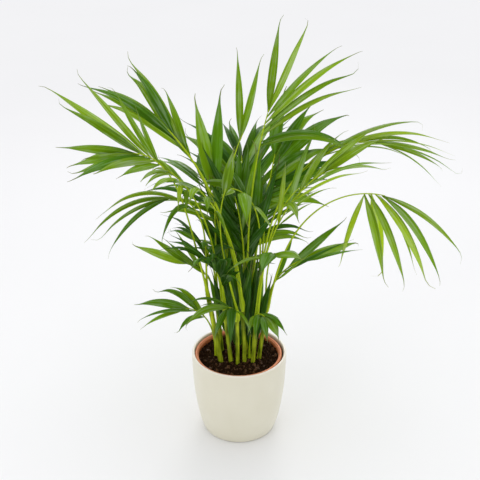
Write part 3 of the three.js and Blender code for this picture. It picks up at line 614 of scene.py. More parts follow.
FRONDS = {
    "left_top": dict(stem="a", azimuth=197, length=250, lean=(12, 84), bend=5, bare=0.84, pairs=6,
        leaflet=124, width=13, spread=(38, 6), lift=0, droop=0.3, sag=0.3, skew=3, roll=-46, pitch=0,
        shape=0.4, uneven=-0.14, seed=3, fill=0),
    "left_back": dict(stem="c", azimuth=163, length=284, lean=(9, 47), bend=1.7, bare=0.8, leaflet=134,
        width=13, spread=(6, 8), lift=0, droop=0.55, skew=-3, roll=-40, pitch=10, thick=2.4, seed=7,
        fill=0),
    "right_top": dict(stem="e", azimuth=46, length=256, lean=(0, 24), bare=0.8, pairs=7, leaflet=134,
        width=10, spread=(53, 9), lift=0, droop=0.12, sag=-0.8, roll=30, pitch=20, shape=0.1,
        uneven=-0.06, side=-1, seed=20, fill=0),
    "back_spear": dict(stem="d", azimuth=38, length=226, lean=(-5, 32), bend=2, bare=0.95, pairs=1,
        leaflet=134, width=15, spread=(7, 7), lift=0, droop=0.05, skew=20, roll=25, pitch=0, shape=0.1,
        seed=15, fill=0),
    "pair_up": dict(stem="j", azimuth=100, length=168, lean=(3, 7), bare=0.9, pairs=1, leaflet=178,
        width=24, spread=(9, 9), lift=0, droop=0, pitch=0, uneven=-0.06, seed=14, tone=1, fill=0),
    "lime_leaf": dict(stem="k", azimuth=8, length=200, lean=(-13, 20), bend=3, bare=0.94, pairs=1,
        leaflet=84, width=17, spread=(1, 1), lift=0, droop=0, roll=75, pitch=0, seed=75, tone=4, fill=0),
    "new_leaf": dict(stem="l", azimuth=20, length=152, lean=(6, 14), bend=1.2, bare=0.9, pairs=1,
        leaflet=64, width=14, spread=(1, 1), lift=0, droop=0, roll=70, pitch=0, thick=2.4, seed=67,
        tone=4, fill=0),
    # right_far, right_droop and right_front take tone 3, painted light shining through these fronds.
    "right_far": dict(stem="f", azimuth=8, length=318, lean=(3, 104), bend=2, bare=0.62, pairs=7,
        leaflet=146, width=9, spread=(6, 5), lift=-8, droop=0.75, skew=-4, roll=5, pitch=20, seed=21,
        tone=3, fill=0),
    "right_droop": dict(stem="g", azimuth=340, length=277, lean=(11, 96), bend=2, bare=0.9, pairs=4,
        leaflet=140, width=16, spread=(94, 10), lift=-58, droop=1.9, sag=-0.2, skew=30, pitch=0,
        shape=0.06, uneven=0.06, seed=23, tone=3, fill=0),
    "right_dark": dict(stem="f", azimuth=60, length=208, lean=(2, 26), bend=2, bare=0.68, leaflet=122,
        width=19, spread=(64, 8), droop=0.6, roll=30, side=-1, seed=19, tone=1),
    "left_mid": dict(stem="a", azimuth=190, length=172, lean=(0, 104), bend=4, bare=0.74, pairs=4,
        leaflet=144, width=10, spread=(30, 8), lift=-5, droop=1.7, roll=-10, pitch=0, side=1, seed=9,
        fill=0),
    "left_low": dict(stem="j", azimuth=184, length=60, lean=(10, 62), bend=1, bare=0.5, pairs=2,
        leaflet=82, width=13, spread=(9, 5), lift=0, droop=0.1, roll=-30, pitch=0, shape=0, seed=11,
        fill=0),
    "left_hook": dict(stem="b", azimuth=199, length=224, lean=(8, 50), bend=2.6, bare=0.82, pairs=3,
        leaflet=76, width=11, spread=(60, 30), lift=0, droop=1.3, roll=-10, seed=5, tone=3),
    "right_low": dict(stem="g", azimuth=4, length=92, lean=(6, 70), bend=1.2, bare=0.45, pairs=3,
        leaflet=106, width=14, spread=(22, 4), droop=0.25, roll=15, seed=25, tone=1, fill=0),
    "right_front": dict(stem="h", azimuth=354, length=258, lean=(4, 52), bend=1.8, leaflet=118,
        spread=(34, 8), droop=0.55, roll=20, seed=27, tone=3, fill=0),
    "front_arch": dict(stem="c", azimuth=215, length=214, lean=(6, 42), bare=0.78, pairs=3, leaflet=66,
        spread=(60, 30), droop=1.6, seed=29, fill=0),
    "front_high": dict(stem="f", azimuth=206, length=192, lean=(-2, 78), bend=3.6, bare=0.74, pairs=3,
        leaflet=84, width=19, spread=(70, 26), droop=1.3, seed=51, fill=0),
    "right_hook": dict(stem="h", azimuth=352, length=222, lean=(5, 44), bend=3, bare=0.85, pairs=2,
        leaflet=72, width=17, spread=(44, 20), droop=2.2, seed=63, fill=0),
    "centre_up": dict(stem="e", azimuth=95, length=40, lean=(2, 6), bend=1.5, bare=0.5, pairs=3,
        leaflet=165, width=18, spread=(14, 2), lift=0, droop=0, pitch=0, shape=0.1, seed=65, tone=1,
        fill=0),
    "back_high": dict(stem="i", azimuth=92, length=210, lean=(2, 66), bend=2, bare=0.5, pairs=6,
        leaflet=130, width=15, spread=(50, 14), lift=10, droop=0.7, seed=33, tone=1),
    "back_left": dict(stem="d", azimuth=118, length=170, lean=(6, 74), bare=0.5, leaflet=110, width=14,
        spread=(50, 14), lift=10, droop=0.9, seed=35, tone=1),
    "back_right": dict(stem="i", azimuth=62, length=150, lean=(8, 80), bend=1.5, bare=0.45, leaflet=110,
        width=14, spread=(50, 14), lift=10, droop=0.9, seed=37, tone=1),
    # centre_left, centre_back, inner_left, inner_back and back_low take tone 0, painted shade deep in the
    # clump.
    "centre_left": dict(stem="j", azimuth=215, length=96, lean=(3, 42), bend=1.8, bare=0.4, pairs=4,
        leaflet=80, width=15, spread=(45, 14), lift=10, droop=0.9, seed=47, tone=0),
    "centre_back": dict(stem="e", azimuth=120, length=130, lean=(2, 30), bare=0.35, pairs=4, leaflet=110,
        width=16, spread=(35, 10), droop=0.2, seed=49, tone=0),
    "inner_left": dict(stem="b", azimuth=225, length=70, lean=(4, 40), bend=1.4, bare=0.35, pairs=4,
        leaflet=95, width=15, spread=(40, 12), lift=10, droop=0.9, seed=53, tone=0, fill=2),
    "inner_right": dict(stem="g", azimuth=288, length=112, lean=(1, 58), bend=2.2, bare=0.66, pairs=3,
        leaflet=76, width=19, spread=(75, 14), droop=1.2, side=-1, seed=55, fill=0),
    "inner_back": dict(stem="d", azimuth=75, length=90, lean=(2, 40), bend=1.4, bare=0.3, pairs=4,
        leaflet=100, width=16, spread=(40, 12), droop=0.4, seed=57, tone=0, fill=2),
    "right_skirt": dict(stem="h", azimuth=300, length=38, lean=(12, 95), bend=1.1, bare=0.4, pairs=3,
        leaflet=50, lift=0, droop=2.2, seed=45, fill=0, tone=1),
    "back_low": dict(stem="i", azimuth=100, length=60, lean=(8, 70), bend=1.2, bare=0.3, pairs=4,
        leaflet=85, width=13, spread=(50, 16), droop=1.0, seed=61, tone=0),
    "foot_left": dict(at=(-34, -2), azimuth=192, length=106, lean=(4, 84), bend=2.4, bare=0.68, pairs=3,
        leaflet=90, width=14, spread=(26, 10), droop=1.0, roll=-15, seed=41, fill=0, tone=1),
    "foot_front": dict(stem="k", azimuth=222, length=24, lean=(6, 70), bend=1.2, bare=0.3, pairs=3,
        leaflet=80, width=13, spread=(48, 16), lift=0, droop=1.7, seed=43, fill=0, tone=1),
    "sucker_left": dict(SUCKER, at=(-14, 8), azimuth=100, length=46, lean=(0, 4), leaflet=140, seed=69,
        fill=3),
    "sucker_mid": dict(SUCKER, at=(-2, -6), azimuth=80, length=40, lean=(0, 4), leaflet=130, seed=71,
        fill=3),
    "sucker_right": dict(SUCKER, at=(15, -8), azimuth=60, length=40, lean=(0, 8), leaflet=130, seed=73),
}
print(len(FRONDS), "fronds")

# %% [markdown]
# ## The rule, step by step
#
# The functions below give the top of a stem, the line of a rib and the start of each leaflet. A steady
# scatter stands in for chance: it gives each leaflet its own small difference, the same one every time.

# %% Stem tops and frond roots
# The gap that each solid keeps from the one that carries it.
GAP = 0.3
STALK_OFFSET = 2.2
SEED_STEP = 0.7549
NUMBER_STEP = 0.618


def scatter(seed, k):
    """A steady value between -1 and 1 for a frond's seed and a leaflet's number."""
    t = seed * SEED_STEP + k * NUMBER_STEP
    return 2 * (t - math.floor(t)) - 1


def stem_top(stem):
    lean, way = math.radians(stem["lean"]), math.radians(stem["azimuth"])
    reach = stem["height"] * math.sin(lean)
    x, y = stem["foot"]
    return Vector((x + reach * math.cos(way), y + reach * math.sin(way),
                   SOIL_TOP + GAP + stem["height"] * math.cos(lean)))


def root_fronds():
    """Spreads the fronds of each stem round its top, in order of their azimuth."""
    for key, stem in STEMS.items():
        mates = [row for row in FRONDS.values() if row["stem"] == key]
        ways = [math.radians(row["azimuth"]) for row in mates]
        heading = math.atan2(sum(map(math.sin, ways)), sum(map(math.cos, ways)))

        def turn_from(row):
            turn = math.radians(row["azimuth"]) - heading
            return math.atan2(math.sin(turn), math.cos(turn))

        mates.sort(key=turn_from)
        for i, row in enumerate(mates):
            turn = heading + 2 * math.pi / len(mates) * (i - (len(mates) - 1) / 2)
            offset = STALK_OFFSET if len(mates) > 1 else 0
            row["root"] = stem_top(stem) + Vector((offset * math.cos(turn), offset * math.sin(turn), GAP))
    for row in FRONDS.values():
        if row["stem"] is None:
            row["root"] = Vector((*row["at"], SOIL_TOP + GAP))


for name in FRONDS:
    FRONDS[name] = {**FROND, **FRONDS[name], "name": name}
root_fronds()
in_soil = [name for name, row in FRONDS.items() if row["stem"] is None]
print("fronds that start in the soil:", in_soil)


# %% The line of a rib
RIB_STEPS = 24
RIB_MARKS = 9
MARK_BUNCH = 1.4
MARKS = [1 - (1 - j / RIB_MARKS) ** MARK_BUNCH for j in range(RIB_MARKS + 1)]


def between(points, place):
    """The point at a place along a line, where whole numbers are its points."""
    j = min(len(points) - 2, int(place))
    return points[j].lerp(points[j + 1], place - j)


def level_across(heading):
    """The level direction across a rib."""
    return Vector((-math.sin(heading), math.cos(heading), 0))


def rib_of(frond):
    """A rib's marked points, its fine points, the direction of each fine step, and its heading."""
    points, along = [frond["root"].copy()], []
    low, high = frond["lean"]
    heading = math.radians(frond["azimuth"])
    for j in range(RIB_STEPS):
        u = (j + 0.5) / RIB_STEPS
        lean = math.radians(low + (high - low) * u ** frond["bend"])
        t = Vector((math.sin(lean) * math.cos(heading), math.sin(lean) * math.sin(heading), math.cos(lean)))
        points.append(points[-1] + t * (frond["length"] / RIB_STEPS))
        along.append(t)
    marks = [between(points, u * RIB_STEPS) for u in MARKS]
    return marks, points, along, heading


def on_rib(marks, u):
    """The point of a rib at a share u of its length, on the straight pieces between marks."""
    j = max(i for i in range(RIB_MARKS) if MARKS[i] <= u)
    return marks[j].lerp(marks[j + 1], (u - MARKS[j]) / (MARKS[j + 1] - MARKS[j]))


print("rib marks at", [round(u, 2) for u in MARKS])

# %% Where leaflets start
LAST_LEAFLET_AT = 0.985
SIDE_STAGGER = 0.35
FIRST_WIDTH = 0.75
WIDTH_GAIN = 0.35
OPENING_SCATTER = 6
LIFT_SCATTER = 7
SIZE_SCATTER = 0.1
DROOP_SCATTER = 0.35


def leaflet_at(frond, rib, x, side, k, share=1.0):
    """One leaflet at a place x from 0 to 1 along the leafy part, on side 1 or -1, with number k.

    Each measure adds its own number to k, so that one leaflet's small differences don't go together.
    """
    marks, _, along, heading = rib
    seed = frond["seed"]
    u = min(LAST_LEAFLET_AT, frond["bare"] + (1 - frond["bare"]) * x)
    t = along[min(RIB_STEPS - 1, int(u * RIB_STEPS))]
    cross = level_across(heading)
    over = t.cross(cross)
    roll = math.radians(frond["roll"])
    first, last = frond["spread"]
    spread = first + (last - first) * x + frond["skew"] * side * (1 - x)
    return dict(
        root=on_rib(marks, u), t=t, side=side, pitch=frond["pitch"], x=x,
        out=cross * math.cos(roll) + over * math.sin(roll),
        up=over * math.cos(roll) - cross * math.sin(roll),
        opening=spread + OPENING_SCATTER * scatter(seed, k),
        lift=frond["lift"] + LIFT_SCATTER * scatter(seed, k + 31),
        length=share * frond["leaflet"] * (1 - frond["shape"] * (2 * x - 1) ** 2)
        * (1 + frond["uneven"] * side) * (1 + SIZE_SCATTER * scatter(seed, k + 57)),
        width=frond["width"] * (FIRST_WIDTH + WIDTH_GAIN * x) * (1 + SIZE_SCATTER * scatter(seed, k + 91)),
        droop=(frond["droop"] + frond["sag"] * side * (1 - x)) * (1 + DROOP_SCATTER * scatter(seed, k + 13)))


def leaflets_of(frond):
    """A frond's leaflets in pairs. Those on one side start a little lower."""
    rib = rib_of(frond)
    pairs = frond["pairs"]
    made = []
    for i in range(pairs):
        for side in (1, -1):
            if frond["side"] != 0 and side != frond["side"] and i < pairs - 1:
                continue
            x = max(0.0, (i - (SIDE_STAGGER if side < 0 else 0)) / max(1, pairs - 1))
            made.append(leaflet_at(frond, rib, x, side, 2 * i + (1 if side < 0 else 0)))
    return made


print("leaflets wanted:", sum(len(leaflets_of(frond)) for frond in FRONDS.values()))

# %% The line of a leaflet
SAG_POWER = 1.3
# A leaflet that droops less than the first value is drawn in so many steps.
STEPS_FOR_DROOP = [(0.35, 3), (1.3, 4), (math.inf, 5)]


def leaflet_line(leaf, shift):
    """The points of a leaflet's midrib, and at each the direction of its width."""
    more_lift, more_opening, shorten = shift
    opening = math.radians(leaf["opening"] + more_opening)
    lift = math.radians(leaf["lift"] + more_lift)
    start = (leaf["t"] * math.cos(opening) + leaf["out"] * leaf["side"] * math.cos(lift) * math.sin(opening)
             + leaf["up"] * math.sin(lift) * math.sin(opening))
    count = next(steps for droop, steps in STEPS_FOR_DROOP if leaf["droop"] < droop)
    centres, ways = [leaf["root"].copy()], []
    for j in range(count):
        v = (j + 0.5) / count
        d = (start + Vector((0, 0, -leaf["droop"] * v**SAG_POWER))).normalized()
        centres.append(centres[-1] + d * (leaf["length"] * shorten / count))
        ways.append(d)
    turn = Matrix.Rotation(leaf["side"] * math.radians(leaf["pitch"]), 3, ways[0])
    w = turn @ ways[0].cross(leaf["up"]).normalized()
    widths = []
    for j in range(count + 1):
        d = (ways[max(0, j - 1)] + ways[min(count - 1, j)]).normalized()
        w = (w - d * w.dot(d)).normalized()
        widths.append(w)
    return centres, widths


# %% [markdown]
# ## Fitting the rule to the solid model
#
# When the solid fronds were made, each rib and leaflet was turned a little wherever something already stood
# in its way. There is a short list of such turns. For each piece we try them all, and keep the one whose
# points lie on the solid frond. A leaflet that fits none was left out there, so it is left out here.

# %% Looking points up on the solid fronds
# A point this near to a corner of a solid, in millimetres, lies on it.
TOUCH = 0.05
# Each shift of a leaflet: more lift and more opening in degrees, and the share of its length that is kept.
LEAFLET_SHIFTS = [
    (0, 0, 1), (9, 0, 1), (-9, 0, 1), (0, 8, 1), (0, -8, 1), (18, 0, 1), (-18, 0, 1), (9, 8, 0.8),
    (-9, -8, 0.8), (27, 0, 0.8), (-27, 0, 0.8), (0, 16, 0.8), (0, 0, 0.6), (14, 0, 0.6), (-14, 0, 0.6),
    (0, 0, 0.45),
]
RIB_TURNS = [0, 2, -2, 4, -4, 6, -6, 9, -9, 12, -12, 16, -16, 20, -20, 25, -25, 30, -30]


def lookup(name):
    """The corners of a solid node in a form that finds the nearest one quickly."""
    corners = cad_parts[name].data.vertices
    tree = kdtree.KDTree(len(corners))
    for i, vertex in enumerate(corners):
        tree.insert(vertex.co / MM, i)
    tree.balance()
    return tree


def touching(tree, points):
    return sum(tree.find(p)[2] < TOUCH for p in points)


print("turns to try:", len(RIB_TURNS), "for a rib and", len(LEAFLET_SHIFTS), "for a leaflet")


# %% Finding each rib's turn
STALK_TAPER = 0.55


def fit_rib(frond, tree):
    """Sets the azimuth whose rib lies on the solid frond."""
    wanted = frond["azimuth"]
    girths = [frond["thick"] * (1 - STALK_TAPER * u) for u in MARKS]
    best = (0, 0)
    for turn in RIB_TURNS:
        frond["azimuth"] = wanted + turn
        marks, _, _, heading = rib_of(frond)
        side = level_across(heading)
        hits = touching(tree, [p + side * r * sign for p, r in zip(marks, girths) for sign in (1, -1)])
        if hits > best[0]:
            best = (hits, turn)
    frond["azimuth"] = wanted + best[1]
    return best[0]


# %% Finding each leaflet's turn
# A solid leaflet widens from a narrow neck, closes to a blunt tip, and gets thinner on the way.
NECK = 0.2
NECK_LENGTH = 0.3
TIP_START = 2.4
TIP_BLUNTNESS = 0.9
THINNEST = 1.3
THICK_FOR_LENGTH = 0.016
TIP_THINNING = 0.5
LEAFLET_HITS_NEEDED = 2


def solid_section(leaf, length, v):
    """Half the width of a solid leaflet at a share of its length, and a third of its depth."""
    grown = min(1.0, v / NECK_LENGTH)
    widened = NECK + (1 - NECK) * grown * grown * (3 - 2 * grown)
    half = leaf["width"] / 2 * widened * (1 - v**TIP_START) ** TIP_BLUNTNESS
    return half, max(THINNEST, length * THICK_FOR_LENGTH) * (1 - TIP_THINNING * v) / 3


def fit_leaflet(leaf, tree):
    """The shift whose midrib tip and lower edges lie on the solid frond, or None."""
    best = (0, None)
    for shift in LEAFLET_SHIFTS:
        centres, widths = leaflet_line(leaf, shift)
        hits = 2 * touching(tree, centres[-1:])
        count = len(centres) - 1
        for j in range(1, count):
            half, third = solid_section(leaf, leaf["length"] * shift[2], j / count)
            d = (centres[j] - centres[j - 1]).normalized() + (centres[j + 1] - centres[j]).normalized()
            up = widths[j].cross(d.normalized())
            hits += touching(tree, [centres[j] + up * 2 * third, centres[j] + widths[j] * half - up * third,
                                    centres[j] - widths[j] * half - up * third])
        if hits > best[0]:
            best = (hits, shift)
    return best[1] if best[0] >= LEAFLET_HITS_NEEDED else None


# %% Fitting all fronds
RIB_HITS_WANTED = 4

fitted = {}
left_out = 0
for name, frond in FRONDS.items():
    tree = lookup("frond_" + name)
    rib_hits = fit_rib(frond, tree)
    if rib_hits < RIB_HITS_WANTED:
        print("rib", name, "touches the solid at", rib_hits, "points")
    tried = [(leaf, fit_leaflet(leaf, tree)) for leaf in leaflets_of(frond)]
    fitted[name] = [(leaf, shift) for leaf, shift in tried if shift]
    left_out += len(tried) - len(fitted[name])
print("leaflets fitted:", sum(map(len, fitted.values())), "left out:", left_out)

# %% [markdown]
# ## Sweeping a shape along a line
#
# Stems, ribs and leaflets all follow a line. A Geometry Nodes tree smooths the line, slides an outline along
# it and scales it by the girth at each point. For stems and ribs the outline is a circle. For leaflets it is
# a shallow roof, because a palm leaflet is folded along its midrib, and its girth follows a curve from base
# to tip.


# %% Paths as meshes
def path_mesh(name, paths):
    """A mesh of lines. Each path is a list of (point in mm, girth in mm, width direction)."""
    points, edges, girths, ways = [], [], [], []
    for path in paths:
        for i, (point, girth, way) in enumerate(path):
            if i:
                edges.append((len(points) - 1, len(points)))
            points.append(tuple(point * MM))
            girths.append(girth * MM)
            ways.extend(way)
    mesh = bpy.data.meshes.new(name)
    mesh.from_pydata(points, edges, [])
    mesh.attributes.new("girth", "FLOAT", "POINT").data.foreach_set("value", girths)
    mesh.attributes.new("width_way", "FLOAT_VECTOR", "POINT").data.foreach_set("vector", ways)
    return add_object(name, mesh)


def smooth_lines(graph, geometry, count):
    """Turns mesh lines into smooth curves with a number of points."""
    lines = graph.node("GeometryNodeMeshToCurve", {}, {"Mesh": geometry})
    smooth = graph.node("GeometryNodeCurveSplineType", {"spline_type": "CATMULL_ROM"}, {"Curve": lines})
    return graph.node("GeometryNodeResampleCurve", {}, {"Curve": smooth, "Count": count})


def named(graph, name, kind="FLOAT"):
    """Reads a value that is kept on the geometry under a name."""
    return graph.node("GeometryNodeInputNamedAttribute", {"data_type": kind}, {"Name": name})


def keep(graph, geometry, name, value, kind="FLOAT", domain="POINT"):
    """Keeps a value on the geometry under a name."""
    return graph.node("GeometryNodeStoreNamedAttribute", {"data_type": kind, "domain": domain}, {
        "Geometry": geometry, "Name": name, "Value": value})


# %% The limb tree
limb_tree, graph, given = new_tree("sweep_limbs", [
    ("Points", "Int", 40), ("Sides", "Int", 10), ("Finish", "Material", None)])
curves = smooth_lines(graph, given["Geometry"], given["Points"])
circle = graph.node("GeometryNodeCurvePrimitiveCircle", {}, {"Resolution": given["Sides"], "Radius": 1.0})
limbs = graph.node("GeometryNodeCurveToMesh", {}, {
    "Curve": curves, "Profile Curve": circle, "Scale": named(graph, "girth"), "Fill Caps": True})
end_tree(graph, graph.node("GeometryNodeSetShadeSmooth", {}, {"Geometry": limbs}), given["Finish"])

# %% The leaflet tree
LEAFLET_SHAPE = [(0.0, 0.17), (0.07, 0.36), (0.17, 0.78), (0.29, 0.98), (0.40, 1.0), (0.54, 0.88),
                 (0.67, 0.62), (0.78, 0.33), (0.86, 0.13), (1.0, 0.035)]
FOLD_POWER = 1.3

leaflet_tree, graph, given = new_tree("sweep_leaflets", [
    ("Points", "Int", 16), ("Across", "Int", 7), ("Fold", "Float", 0.3), ("Seed", "Int", 1),
    ("Finish", "Material", None)])
curves = smooth_lines(graph, given["Geometry"], given["Points"])
curves = keep(graph, curves, "along", graph.node("GeometryNodeSplineParameter"))
dealt = graph.node("FunctionNodeRandomValue", {"data_type": "FLOAT"}, {"Seed": given["Seed"]}, out=1)
curves = keep(graph, curves, "shade", dealt, domain="CURVE")
curves = graph.node("GeometryNodeSetCurveNormal", {"mode": "FREE"}, {
    "Curve": curves, "Normal": named(graph, "width_way", "FLOAT_VECTOR")})
line = graph.node("GeometryNodeMeshLine", {"mode": "END_POINTS"}, {
    "Count": given["Across"], "Start Location": (-1, 0, 0), "Offset": (1, 0, 0)})
across = part_of(graph, graph.node("GeometryNodeInputPosition"), 0)
line = keep(graph, line, "across", across)
sag = across.math("ABSOLUTE", across) ** FOLD_POWER * given["Fold"]
roof = graph.node("GeometryNodeSetPosition", {}, {
    "Geometry": line, "Offset": graph.node("ShaderNodeCombineXYZ", {}, {1: sag})})
shape = graph.node("ShaderNodeFloatCurve", {"points": LEAFLET_SHAPE}, {"Value": named(graph, "along")})
blades = graph.node("GeometryNodeCurveToMesh", {}, {
    "Curve": curves, "Profile Curve": graph.node("GeometryNodeMeshToCurve", {}, {"Mesh": roof}),
    "Scale": named(graph, "girth") * shape})
map_place = graph.node("ShaderNodeCombineXYZ", {}, {0: named(graph, "across"), 1: named(graph, "along")})
blades = keep(graph, blades, "UVMap", map_place, "FLOAT2", "CORNER")
end_tree(graph, graph.node("GeometryNodeSetShadeSmooth", {}, {"Geometry": blades}), given["Finish"])

# %% [markdown]
# ## Green finishes
#
# Light shines through a leaf as well as onto it, so a lit leaf is brighter and more yellow than its own
# colour. The finish mixes a Principled shader with a little Translucent light. A leaflet is deepest at its
# base and lighter towards its tip, with long streaks, fine veins and a pale midrib, and its thread ends dry
# and brown. The light streaks are partly a painted sheen, and one half of the fold is painted lighter than
# the other, as painted light and shade. Patches carry a pale painted sheen, and only there is the leaf
# glossy. What runs lengthwise follows the leaflet's own map: x across, y from base to tip. Each tone is one
# plain colour, and whole leaflets take one tone or another. The darkest tone is painted shade for leaflets
# deep in the clump.

# %% Leaf tones
# Each row: the finish's name, its plain colour, and the colour of the light that shines through.
LEAF_TONES = [
    # The first tone is a darker copy of the green: painted shade for leaflets deep in the clump.
    ("leaf_shade", (0.030, 0.100, 0.001), (0.07, 0.21, 0.001)),
    ("leaf_deep", (0.062, 0.174, 0.001), (0.16, 0.35, 0.001)),
    ("leaf_green", (0.115, 0.244, 0.003), (0.28, 0.49, 0.003)),
    ("leaf_fresh", (0.165, 0.300, 0.010), (0.37, 0.59, 0.008)),
    ("leaf_lime", (0.250, 0.400, 0.010), (0.54, 0.76, 0.010)),
]
THROUGH_LIGHT = 0.3
DRY_TIP = (0.26, 0.20, 0.09)
# The waxy tone is a pale painted sheen, mixed into the colour where the patches are.
PAINTED_SHEEN_TONE = (0.33, 0.41, 0.27)
PAINTED_SHEEN_COVER = 1.4
WAX_GLOSS = 4
# How many times a tone's own colour its darkest colour, its lightest one and its midrib are.
DARKEST = 0.5
LIGHTEST = (1.7, 1.6, 1.6)
# Extra blue in the lightest colour, a painted pale sheen.
PAINTED_SHEEN_BLUE = 0.014
MIDRIB = 1.7
MIDRIB_PALE = 0.03


def leaf_colours(colour):
    """A tone's darkest and lightest colour, and the colour of its midrib."""
    dark = tuple(DARKEST * c for c in colour)
    red, green, blue = (times * c for times, c in zip(LIGHTEST, colour))
    light = (red, green, blue + PAINTED_SHEEN_BLUE)
    midrib = tuple(min(1, MIDRIB * c + MIDRIB_PALE) for c in colour)
    return dark, light, midrib


print("leaf tones:", len(LEAF_TONES))

# %% Leaf patterns
# Places across a leaflet run from -1 to 1, and places along it from 0 to 1. Sizes are in metres.
VEINS_ACROSS = 9
PATCH_SIZE = 0.02
STREAKS_ACROSS = 2.4
STREAKS_ALONG = 1.6
STREAK_SPREAD = 40
HALF_SEAM = 0.12
MIDRIB_EDGE = 0.16
MIDRIB_CORE = 0.04
MIDRIB_SHARE = 0.45
DRY_FROM = 0.89
DRY_AT = 0.98
WAX_AND_SHEEN_FROM = 0.66
WAX_AND_SHEEN_FULL = 0.86
LEAF_RELIEF = 0.0009
# How much each pattern lightens a leaflet: from 0, the tone's darkest colour, to 1, its lightest.
LIGHTER_VEINS = 0.12
LIGHTER_PATCHES = 0.1
LIGHTER_LEAFLET = 0.5
# The lit half of the fold is painted light, the other half painted shade.
PAINTED_LIT_HALF = 0.2
# Streaks that are partly a painted sheen along the leaflet.
LIGHTER_STREAKS = 1.5
LIGHTER_TIP = 0.5
DARKER_ALL = 0.94


def leaf_finish(name, colour, glow):
    material, graph, shader = surface(name, Specular_IOR_Level=0.03, Coat_Roughness=0.4, Coat_IOR=1.8)
    place = graph.node("ShaderNodeTexCoord", out="UV")
    across = part_of(graph, place, 0)
    along = part_of(graph, place, 1)
    off_midrib = across.math("ABSOLUTE", across)
    shade = graph.node("ShaderNodeAttribute", {"attribute_name": "shade"}, out="Fac")
    veins = 0.5 + 0.5 * across.math("COSINE", across * (math.pi * VEINS_ACROSS))
    patches = grain(graph, PATCH_SIZE, 2.0)
    # One half of the fold is painted lighter than the other: painted light and shade on the folded leaflet.
    half = rise(graph, across, -HALF_SEAM, HALF_SEAM)
    # The light streaks are partly painted sheen along the pleats; the same streaks give the real relief.
    streak_place = graph.node("ShaderNodeCombineXYZ", {}, {
        0: across * STREAKS_ACROSS, 1: along * STREAKS_ALONG, 2: shade * STREAK_SPREAD})
    streaks = graph.node("ShaderNodeTexNoise", {}, {"Vector": streak_place, "Scale": 1.0, "Detail": 3.0})
    share = (LIGHTER_VEINS * veins + LIGHTER_PATCHES * patches + LIGHTER_LEAFLET * shade + PAINTED_LIT_HALF * half
             + LIGHTER_STREAKS * streaks + LIGHTER_TIP * along - DARKER_ALL)
    # This mask gives real gloss through the coat and a painted sheen through the colour.
    wax_and_sheen = rise(graph, streaks + 0.4 * patches, WAX_AND_SHEEN_FROM, WAX_AND_SHEEN_FULL)
    dark, light, midrib = leaf_colours(colour)
    # The colour is mixed towards the painted sheen where the mask is high.
    green = tint(graph, tint(graph, dark, light, share), PAINTED_SHEEN_TONE, PAINTED_SHEEN_COVER * colour[1] * wax_and_sheen)
    ribbed = tint(graph, green, midrib, rise(graph, off_midrib, MIDRIB_EDGE, MIDRIB_CORE, MIDRIB_SHARE))
    tipped = tint(graph, ribbed, DRY_TIP, rise(graph, along + 0.06 * shade, DRY_FROM, DRY_AT))
    graph.plug(shader.inputs["Base Color"], tipped)
    graph.plug(shader.inputs["Roughness"], 0.32 + 0.18 * patches)
    graph.plug(shader.inputs["Coat Weight"], min(1, WAX_GLOSS * colour[1]) * wax_and_sheen)
    relief(graph, shader, 0.3 * veins + streaks, LEAF_RELIEF)
    through = graph.node("ShaderNodeBsdfTranslucent", {}, {"Color": (*glow, 1)})
    mixed = graph.node("ShaderNodeMixShader", {}, {
        0: THROUGH_LIGHT, 1: Wire(graph, shader.outputs[0]), 2: through})
    graph.plug(graph.tree.nodes["Material Output"].inputs["Surface"], mixed)
    return material


leaf_finishes = [leaf_finish(*tone) for tone in LEAF_TONES]
print("leaf finishes:", [finish.name for finish in leaf_finishes])

# %% Stem and rib greens
STEM_DARK = (0.040, 0.078, 0.001)
STEM_LIGHT = (0.56, 0.68, 0.025)
RIB_DARK = (0.17, 0.29, 0.003)
RIB_LIGHT = (0.60, 0.74, 0.020)

stem_green, graph, shader = surface("stem_green", Roughness=0.45, Specular_IOR_Level=0.12)
streaks = grain(graph, 0.0034, 3.0, (1, 1, 14))
bands = grain(graph, 0.014, 2.0, (3, 3, 1), seed=6.0)
share = 1.7 * streaks + 0.6 * bands - 0.73
graph.plug(shader.inputs["Base Color"], tint(graph, STEM_DARK, STEM_LIGHT, share))
graph.plug(shader.inputs["Roughness"], 0.36 + 0.2 * streaks)
relief(graph, shader, streaks, 0.0005)

rib_green = grained("rib_green", RIB_DARK, RIB_LIGHT, size=0.001, detail=2.0, depth=0.0002,
                    stretch=(2, 2, 12), seed=1.0, Roughness=0.42, Specular_IOR_Level=0.12)
print("stem and rib finishes:", stem_green.name, "and", rib_green.name)

# %% [markdown]
# ## Stems
#
# A palm stem is wrapped in old leaf bases, so it isn't a smooth rod. Its girth steps in a little above each
# ring, it flares at the soil, and it closes at the top where the rib bases come out. All of that is in the
# girths along its line, so one sweep makes all the stems.

# %% Growing the stems
STEM_SUNK = 1.5
STEM_FLARE = 1.15
FLARE_HEIGHT = 9
RING_SPACING = 17
RING_STEP = 0.07
STEM_SAMPLES = 44
STEM_SLIMMER = 0.93
CLOSED_GIRTH = 0.55
CLOSING_LENGTH = 14


